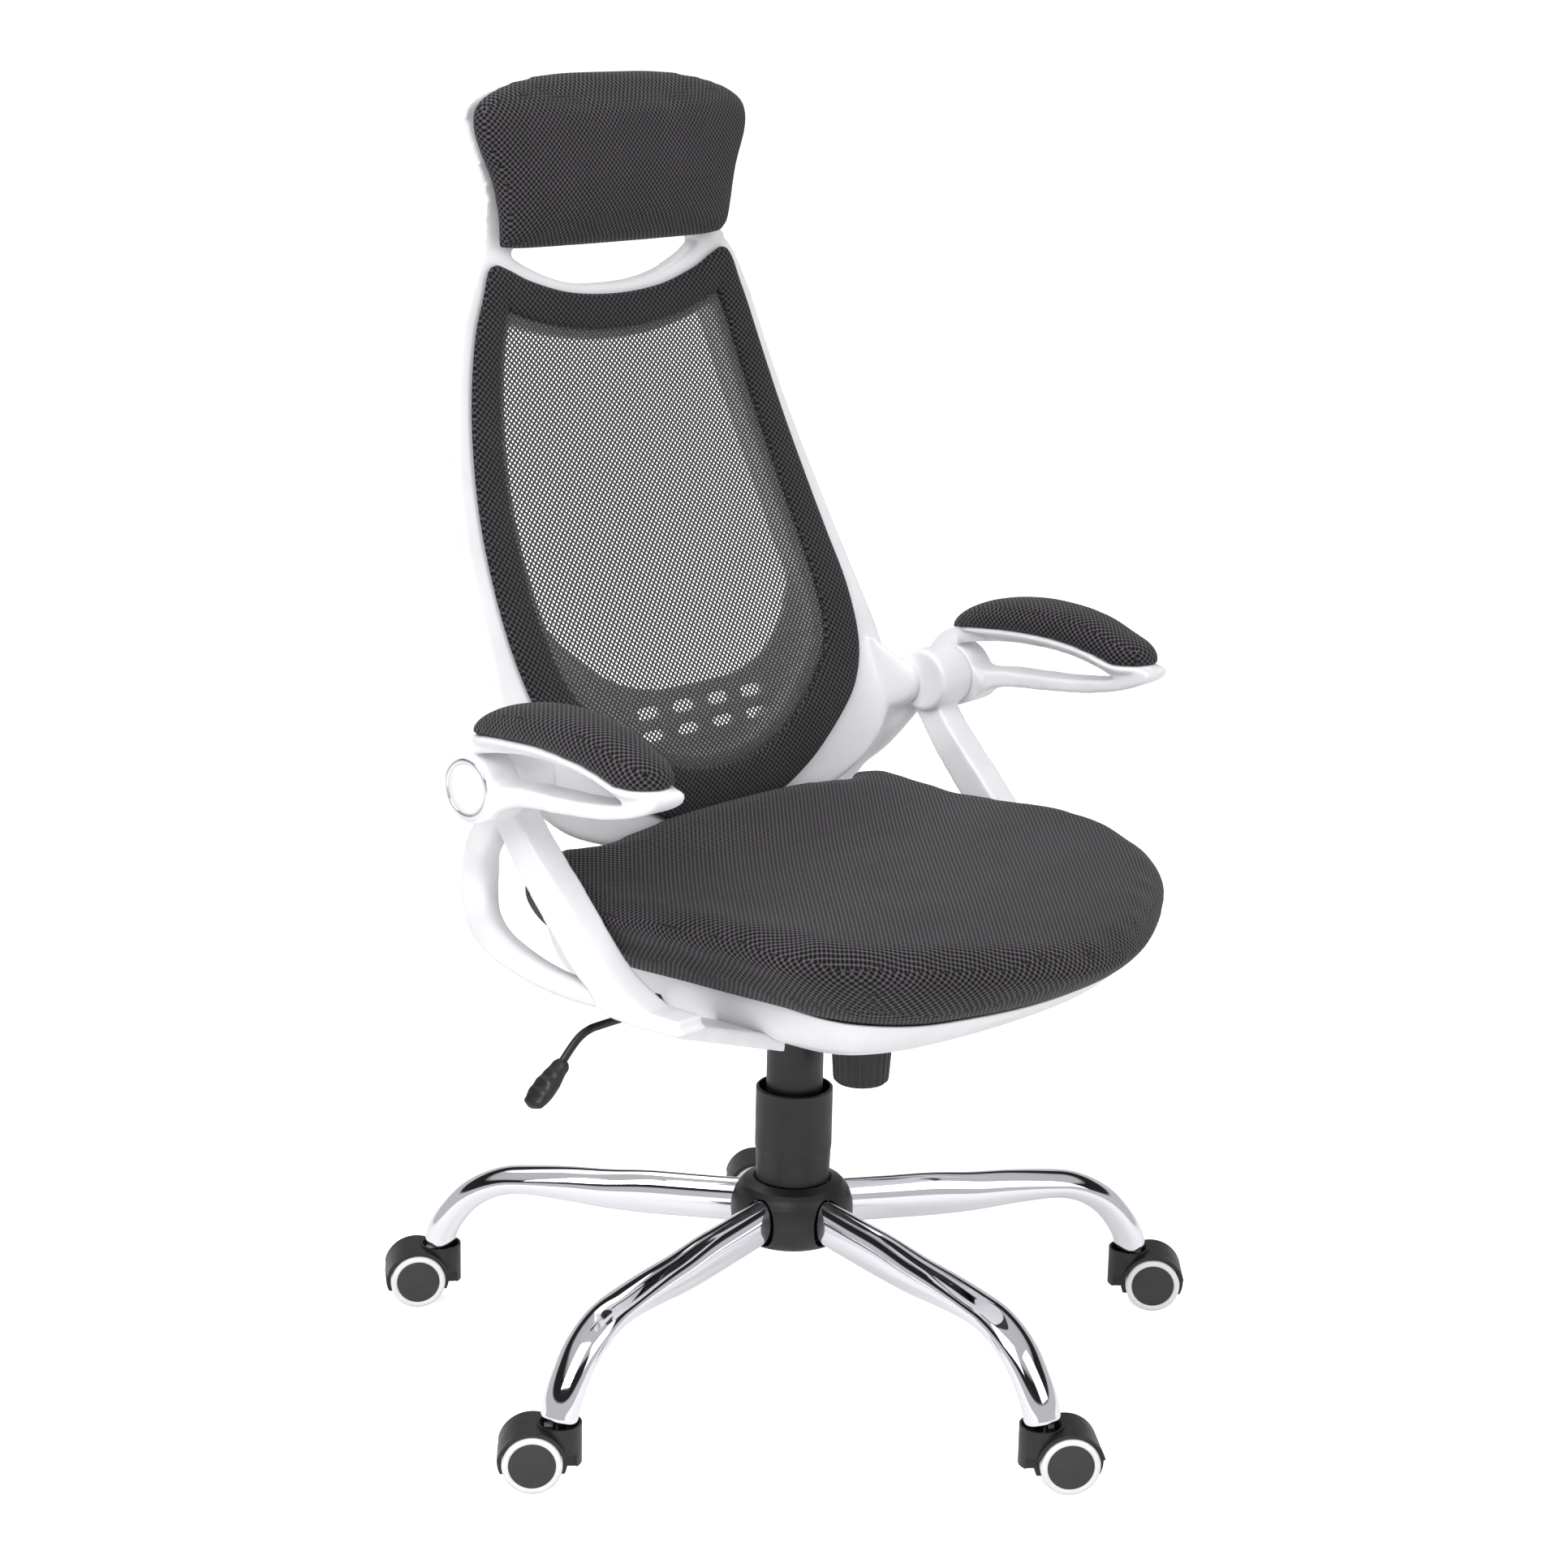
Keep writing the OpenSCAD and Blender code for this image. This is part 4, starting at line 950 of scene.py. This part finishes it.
def build_arms():
    rest = plate("armrest_l_loop", smooth_loop(ARMREST, 6), ARM_MID_X - ARM_HALF_W,
                 ARM_MID_X + ARM_HALF_W)
    cut(rest, plate("hole", smooth_loop(ARMREST_HOLE, 6), 200, 400))
    # the tray under the pad
    floor = curve(PAD_SEAT)
    turn = around(40)
    tray = []
    for f, w, _ in smooth_path(PAD_SHAPE[1:], 3):
        y = PAD_Y[0] + (PAD_Y[1] - PAD_Y[0]) * f
        half = PAD_W / 2 * w - 1.5
        tray.append([(ARM_MID_X + half * power(math.cos(a), 0.8), y,
                      floor(y) - 2.2 + (2.2 if math.sin(a) > 0 else 5.5) * math.sin(a))
                     for a in turn])
    join(rest, loft("tray", tray))
    splayed(rest)
    join(rest, rod("hub", (HUB_X[0], *PIVOT), (HUB_X[1], *PIVOT), PIVOT_R, 72))
    moulded(rest, voxel=1.5, rounds=14, swell=1.0)
    cut(rest, block("trim", (200, 30, 520), (292.4, 120, 610)))
    pad = splayed(loft("armrest_l_pad", pad_rings(2.5)))
    inflate(pad, voxel=4, cap=3.5, held=lambda p: p[:, 2] < floor(p[:, 1]) + 1.5)
    fit_box(pad, "arm_pad_l")
    to_pivot = Matrix.Translation(Vector((0, *PIVOT)) * MM) @ Matrix.Rotation(math.pi / 2, 4, "Y")
    ring = lathe("pivot_l_ring", RING_PROFILE)
    cap = lathe("pivot_l_cap", CAP_PROFILE)
    for o in (ring, cap):
        o.data.transform(to_pivot)
    pieces = [(rest, WHITE, "white_plastic", "armrest_"),
              (pad, FABRIC, "seat_fabric", "arm_pad_"),
              (ring, CHROME, "ring_chrome", "pivot_ring_"),
              (cap, WHITE, "white_plastic", "pivot_cap_")]
    for obj, material, slot, node in pieces:
        twin = flipped(obj, obj.name.replace("_l_", "_r_"))
        for o, hand in ((obj, "l"), (twin, "r")):
            finish_piece(o, material, slot, node + hand)


# ---- base ----

# Stations down the middle of a leg tube: radius, height, depth and width of the tube
LEG = [
    (30, 136, 40, 28), (90, 133, 40, 29), (134, 131, 40, 30), (173, 129, 36, 32),
    (212, 129, 31, 34), (250, 127.5, 25.5, 36), (272, 124, 25, 36), (291, 116, 25, 36),
    (308, 104, 25.5, 35), (322, 88, 26, 34), (332, 72, 27, 33.5), (337, 57, 28, 33),
]
FIRST_LEG, LEG_TURN = 43.5, 72


def build_legs():
    stations = smooth_path(LEG, 6)
    turn = around(56)
    rings = []
    for i, (r, z, tall, wide) in enumerate(stations):
        a, b = stations[max(i - 1, 0)], stations[min(i + 1, len(stations) - 1)]
        t = unit(b[:2] - a[:2])
        rings.append([(r - t[1] * q, p, z + t[0] * q) for p, q in
                      zip(wide / 2 * np.cos(turn), tall / 2 * np.sin(turn))])
    # the end of the tube is rounded and closed a little way up
    last = np.array(rings[-1])
    middle = last.mean(0)
    for share, lift in ((0.97, -0.4), (0.9, -0.2), (0.88, 2.0)):
        rings.append(middle + (last - middle) * share + np.array((0, 0, lift)))
    leg = loft("leg_tubes", rings)
    others = [linked("leg_copy", leg.data.copy()) for _ in LEGS[1:]]
    for k, part in enumerate([leg] + others):
        part.data.transform(Matrix.Rotation(math.radians(FIRST_LEG + LEG_TURN * k), 4, "Z"))
    join(leg, *others)
    finish_piece(leg, CHROME, "chrome_tube", "base_legs")


# Wheel from the inner face to the outer one: radius, distance along the axle, and whether the
# band up to the next point belongs to the pale tread
WHEEL = [
    (3.2, 0, 0), (19.5, 0, 1), (22.8, 0, 1), (24.2, 0.5, 1), (24.9, 1.8, 1), (25, 3.5, 1),
    (25, 7.5, 1), (24.8, 9.2, 1), (24, 10.6, 1), (22.4, 11.3, 1), (20.6, 11.35, 1),
    (19.9, 10.9, 1), (19.5, 10.2, 0), (19.2, 10.6, 0), (18.4, 11.1, 0), (15, 11.4, 0),
    (8, 11.5, 0), (0.2, 11.5, 0),
]
WHEEL_SIDES = 64
WHEEL_DEPTH = 11.5


def build_wheels():
    for k in LEGS:
        for side in "ab":
            node = f"caster_wheel_{side}_{k}"
            other = f"caster_wheel_{'b' if side == 'a' else 'a'}_{k}"
            (lo, hi), (lo2, hi2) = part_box(node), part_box(other)
            centre, partner = (lo + hi) / 2, (lo2 + hi2) / 2
            axis = (centre - partner).normalized()
            wheel = lathe(f"wheel_{side}_{k}", [(r, z) for r, z, _ in WHEEL], WHEEL_SIDES,
                          (WHEEL_CORE, TREAD))
            for f in wheel.data.polygons:
                ring = min(v // WHEEL_SIDES for v in f.vertices)
                f.material_index = WHEEL[ring][2] if len(f.vertices) == 4 else 0
            turn = axis.to_track_quat("Z", "Y").to_matrix().to_4x4()
            inner = centre - axis * (WHEEL_DEPTH / 2 * MM)
            wheel.data.transform(Matrix.Translation(inner) @ turn)
            finish_piece(wheel, None, "caster_wheel", node)


KNOB_RIBS = 24
KNOB_GROOVE = 0.055


def build_knob():
    low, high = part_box("tension_knob")
    x, y = (low.x + high.x) / 2, (low.y + high.y) / 2
    h = (high.z - low.z) / MM
    profile = [(1, 0.4), (16, 0), (21.5, 0.6), (24.0, 3.0), (24.4, 5.5), (25.0, 14), (25.8, 26),
               (26.6, 38), (26.9, h - 2), (26.3, h - 0.4), (24.5, h), (20, h), (20, h - 6),
               (1, h - 6)]

    def wave(turn, i):
        grooves = KNOB_GROOVE * np.clip(0.5 + 1.6 * np.cos(KNOB_RIBS * turn), 0, 1)
        return 1 - (grooves if 3 <= i <= 8 else 0)

    knob = lathe("tilt_knob", profile, KNOB_RIBS * 10, wave=wave)
    knob.data.transform(Matrix.Translation((x, y, low.z)))
    finish_piece(knob, BLACK, "black_plastic", "tension_knob")


LEVER_Y = -4
LEVER_Z = 363.5
LEVER_R = 3.5
GRIP_START, GRIP_END = np.array((-290.0, -19.0)), np.array((-328.0, -48.5))
NOTCH_DEPTH = 1.5


def build_lever():
    route = smooth_path([(-6, 0), (-90, 0.6), (-180, 1.3), (-246, 1.9), (-262, 1.0), (-274, -3.5),
                         (-288, -15), (-297, -25)], 8)
    turn = around(20)
    rings = []
    for i, (x, dz) in enumerate(route):
        t = unit(route[min(i + 1, len(route) - 1)] - route[max(i - 1, 0)])
        rings.append([(x - t[1] * q, LEVER_Y + p, LEVER_Z + dz + t[0] * q)
                      for p, q in zip(LEVER_R * np.cos(turn), LEVER_R * np.sin(turn))])
    finish_piece(loft("lever_bar", rings), BLACK_METAL, "black_metal", "lever_rod")
    # grip: half width and half thickness by the share of its length, with finger notches below
    t = unit(GRIP_END - GRIP_START)
    normal = np.array((-t[1], t[0]))
    wide = curve([(0, 4.5), (0.06, 7), (0.2, 8), (0.5, 10.3), (0.85, 10), (0.96, 7.5), (1, 3)])
    thick = curve([(0, 4), (0.06, 5), (0.2, 5.6), (0.45, 7.6), (0.75, 6.5), (0.93, 4.6), (1, 2)])
    grip_rings = []
    for f in np.linspace(0, 1, 41):
        c = GRIP_START + (GRIP_END - GRIP_START) * f
        wave = 0.5 - 0.5 * math.cos(2 * math.pi * 3 * (f - 0.3) / 0.65)
        notch = NOTCH_DEPTH * wave if 0.3 < f < 0.95 else 0
        ring = []
        for a in turn:
            q = float(thick(f)) * power(math.sin(a), 0.75)
            if q > 0:
                q -= notch * math.sin(a)
            p = float(wide(f)) * power(math.cos(a), 0.75)
            ring.append((c[0] - normal[0] * q, LEVER_Y + p, LEVER_Z + c[1] - normal[1] * q))
        grip_rings.append(ring)
    finish_piece(loft("lever_paddle", grip_rings), BLACK, "black_plastic", "lever_grip")


def dress_cad():
    """Materials for the CAD nodes that stay in view."""
    satin = ["hub_cover", "lower_cover", "lever_bush"] + [f"caster_hood_{k}" for k in LEGS]
    for n in satin:
        dress(n, BLACK, 0.7)
    for n in ("gas_tube", "gas_cylinder", "mech_housing", "mech_plate"):
        dress(n, BLACK_METAL, 0.5)
    steel = ["hub_socket", "leg_sockets", "gas_rod", "tilt_axle", "tilt_spring", "tension_bolt",
             "spring_washer", "seat_bolts", "frame_screws", "pivot_pin_l", "pivot_pin_r"]
    for n in steel + [f"caster_pins_{k}" for k in LEGS]:
        dress(n, STEEL)
    dress("seat_board", WOOD, 1.0)


# ---- stage, light and camera ----

CAMERA_AT = (-2.083, -1.812, 1.244)
CAMERA_HEADING = 48.67
CAMERA_DOWN = 14.63
CAMERA_ROLL = 1.22
CAMERA_LENS, CAMERA_SENSOR = 76.0, 36.0
CAMERA_FAR = 500
CHAIR_MIDDLE = 0.55
# Soft boxes: name, azimuth and elevation in degrees, distance and side in metres, watts
LIGHTS = [
    ("key_box", -75, 45, 3.2, 2.2, 84),
    ("fill_box", 5, 32, 3.6, 2.4, 30),
    ("back_box", 150, 55, 3.4, 2.0, 22),
]


def build_camera():
    data = bpy.data.cameras.new("camera")
    data.lens, data.sensor_width = CAMERA_LENS, CAMERA_SENSOR
    data.clip_end = CAMERA_FAR
    cam = linked("camera", data)
    cam.matrix_world = (Matrix.Translation(CAMERA_AT)
                        @ Matrix.Rotation(math.radians(-CAMERA_HEADING), 4, "Z")
                        @ Matrix.Rotation(math.radians(90 - CAMERA_DOWN), 4, "X")
                        @ Matrix.Rotation(math.radians(CAMERA_ROLL), 4, "Z"))
    bpy.context.scene.camera = cam


def area_light(name, azimuth, elevation, distance, size, power_w):
    """A soft box aimed at the chair's middle. Azimuth is measured from -Y towards +X."""
    data = bpy.data.lights.new(name, "AREA")
    data.shape, data.size, data.size_y = "RECTANGLE", size, size
    data.energy = power_w
    a, e = math.radians(azimuth), math.radians(elevation)
    middle = Vector((0, 0, CHAIR_MIDDLE))
    way = Vector((math.sin(a) * math.cos(e), -math.cos(a) * math.cos(e), math.sin(e)))
    at = middle + distance * way
    aim = (at - middle).to_track_quat("Z", "Y").to_matrix().to_4x4()
    linked(name, data).matrix_world = Matrix.Translation(at) @ aim


FLOOR_HALF = 90000
FLOOR_Z = -0.3
# How bright a mirror sees the sky: height from level (0) to straight up (1), and brightness
SKY_BANDS = [(0.0, 1.0), (0.30, 1.0), (0.36, 0.04), (0.62, 0.03), (0.70, 0.9), (1.0, 1.0)]
SKY_AS_LIGHT, SKY_AS_SEEN = 0.55, 1.1


def build_floor():
    corners = [(FLOOR_HALF * x, FLOOR_HALF * y, FLOOR_Z)
               for x, y in ((-1, -1), (1, -1), (1, 1), (-1, 1))]
    floor = make_mesh("floor", corners, [(0, 1, 2, 3)])
    m = Nodes("floor_pale", Base_Color=(0.9, 0.9, 0.9), Roughness=0.9, Specular_IOR_Level=0.1,
              Emission_Color=(1, 1, 1))
    m.link(m.mix(m.noise(m.place(), 0.002), (0.89, 0.89, 0.89), (0.91, 0.91, 0.91)), "Base Color")
    # only the camera sees the floor's own glow, so it does not light the chair's underside
    m.link(m.ramp(m.add("LightPath", output=0), 0.0, 1.0, 0.0, 0.7), "Emission Strength")
    floor.data.materials.append(m.material)


def build_world():
    world = bpy.data.worlds.new("studio")
    bpy.context.scene.world = world
    world.use_nodes = True
    nodes, links = world.node_tree.nodes, world.node_tree.links
    sky = nodes["Background"]
    # mirrors see a dark upper band between two white ones; everything else sees plain white
    direction = nodes.new("ShaderNodeTexCoord")
    split = nodes.new("ShaderNodeSeparateXYZ")
    links.new(direction.outputs["Generated"], split.inputs[0])
    ramp = nodes.new("ShaderNodeValToRGB")
    links.new(split.outputs[2], ramp.inputs[0])
    while len(ramp.color_ramp.elements) < len(SKY_BANDS):
        ramp.color_ramp.elements.new(1.0)
    for e, (at, v) in zip(ramp.color_ramp.elements, SKY_BANDS):
        e.position, e.color = at, (v, v, v * 1.02, 1)
    rays = nodes.new("ShaderNodeLightPath")
    pick = nodes.new("ShaderNodeMix")
    pick.data_type = "RGBA"
    links.new(rays.outputs["Is Glossy Ray"], pick.inputs[0])
    pick.inputs[6].default_value = (1, 1, 1, 1)
    links.new(ramp.outputs[0], pick.inputs[7])
    links.new(pick.outputs[2], sky.inputs["Color"])
    # the backdrop is plain white to look at, and dimmer as a light
    strength = nodes.new("ShaderNodeMapRange")
    links.new(rays.outputs["Is Camera Ray"], strength.inputs[0])
    strength.inputs[3].default_value = SKY_AS_LIGHT
    strength.inputs[4].default_value = SKY_AS_SEEN
    links.new(strength.outputs[0], sky.inputs["Strength"])


def build_lights():
    for light in LIGHTS:
        area_light(*light)
    view = bpy.context.scene.view_settings
    view.view_transform, view.look = "Standard", "None"


build_camera()
build_floor()
build_world()
build_lights()
dress_cad()
build_legs()
build_wheels()
build_knob()
build_lever()
build_shell()
build_seat()
build_frame()
build_net()
build_border()
build_headrest()
build_bracket()
build_arms()
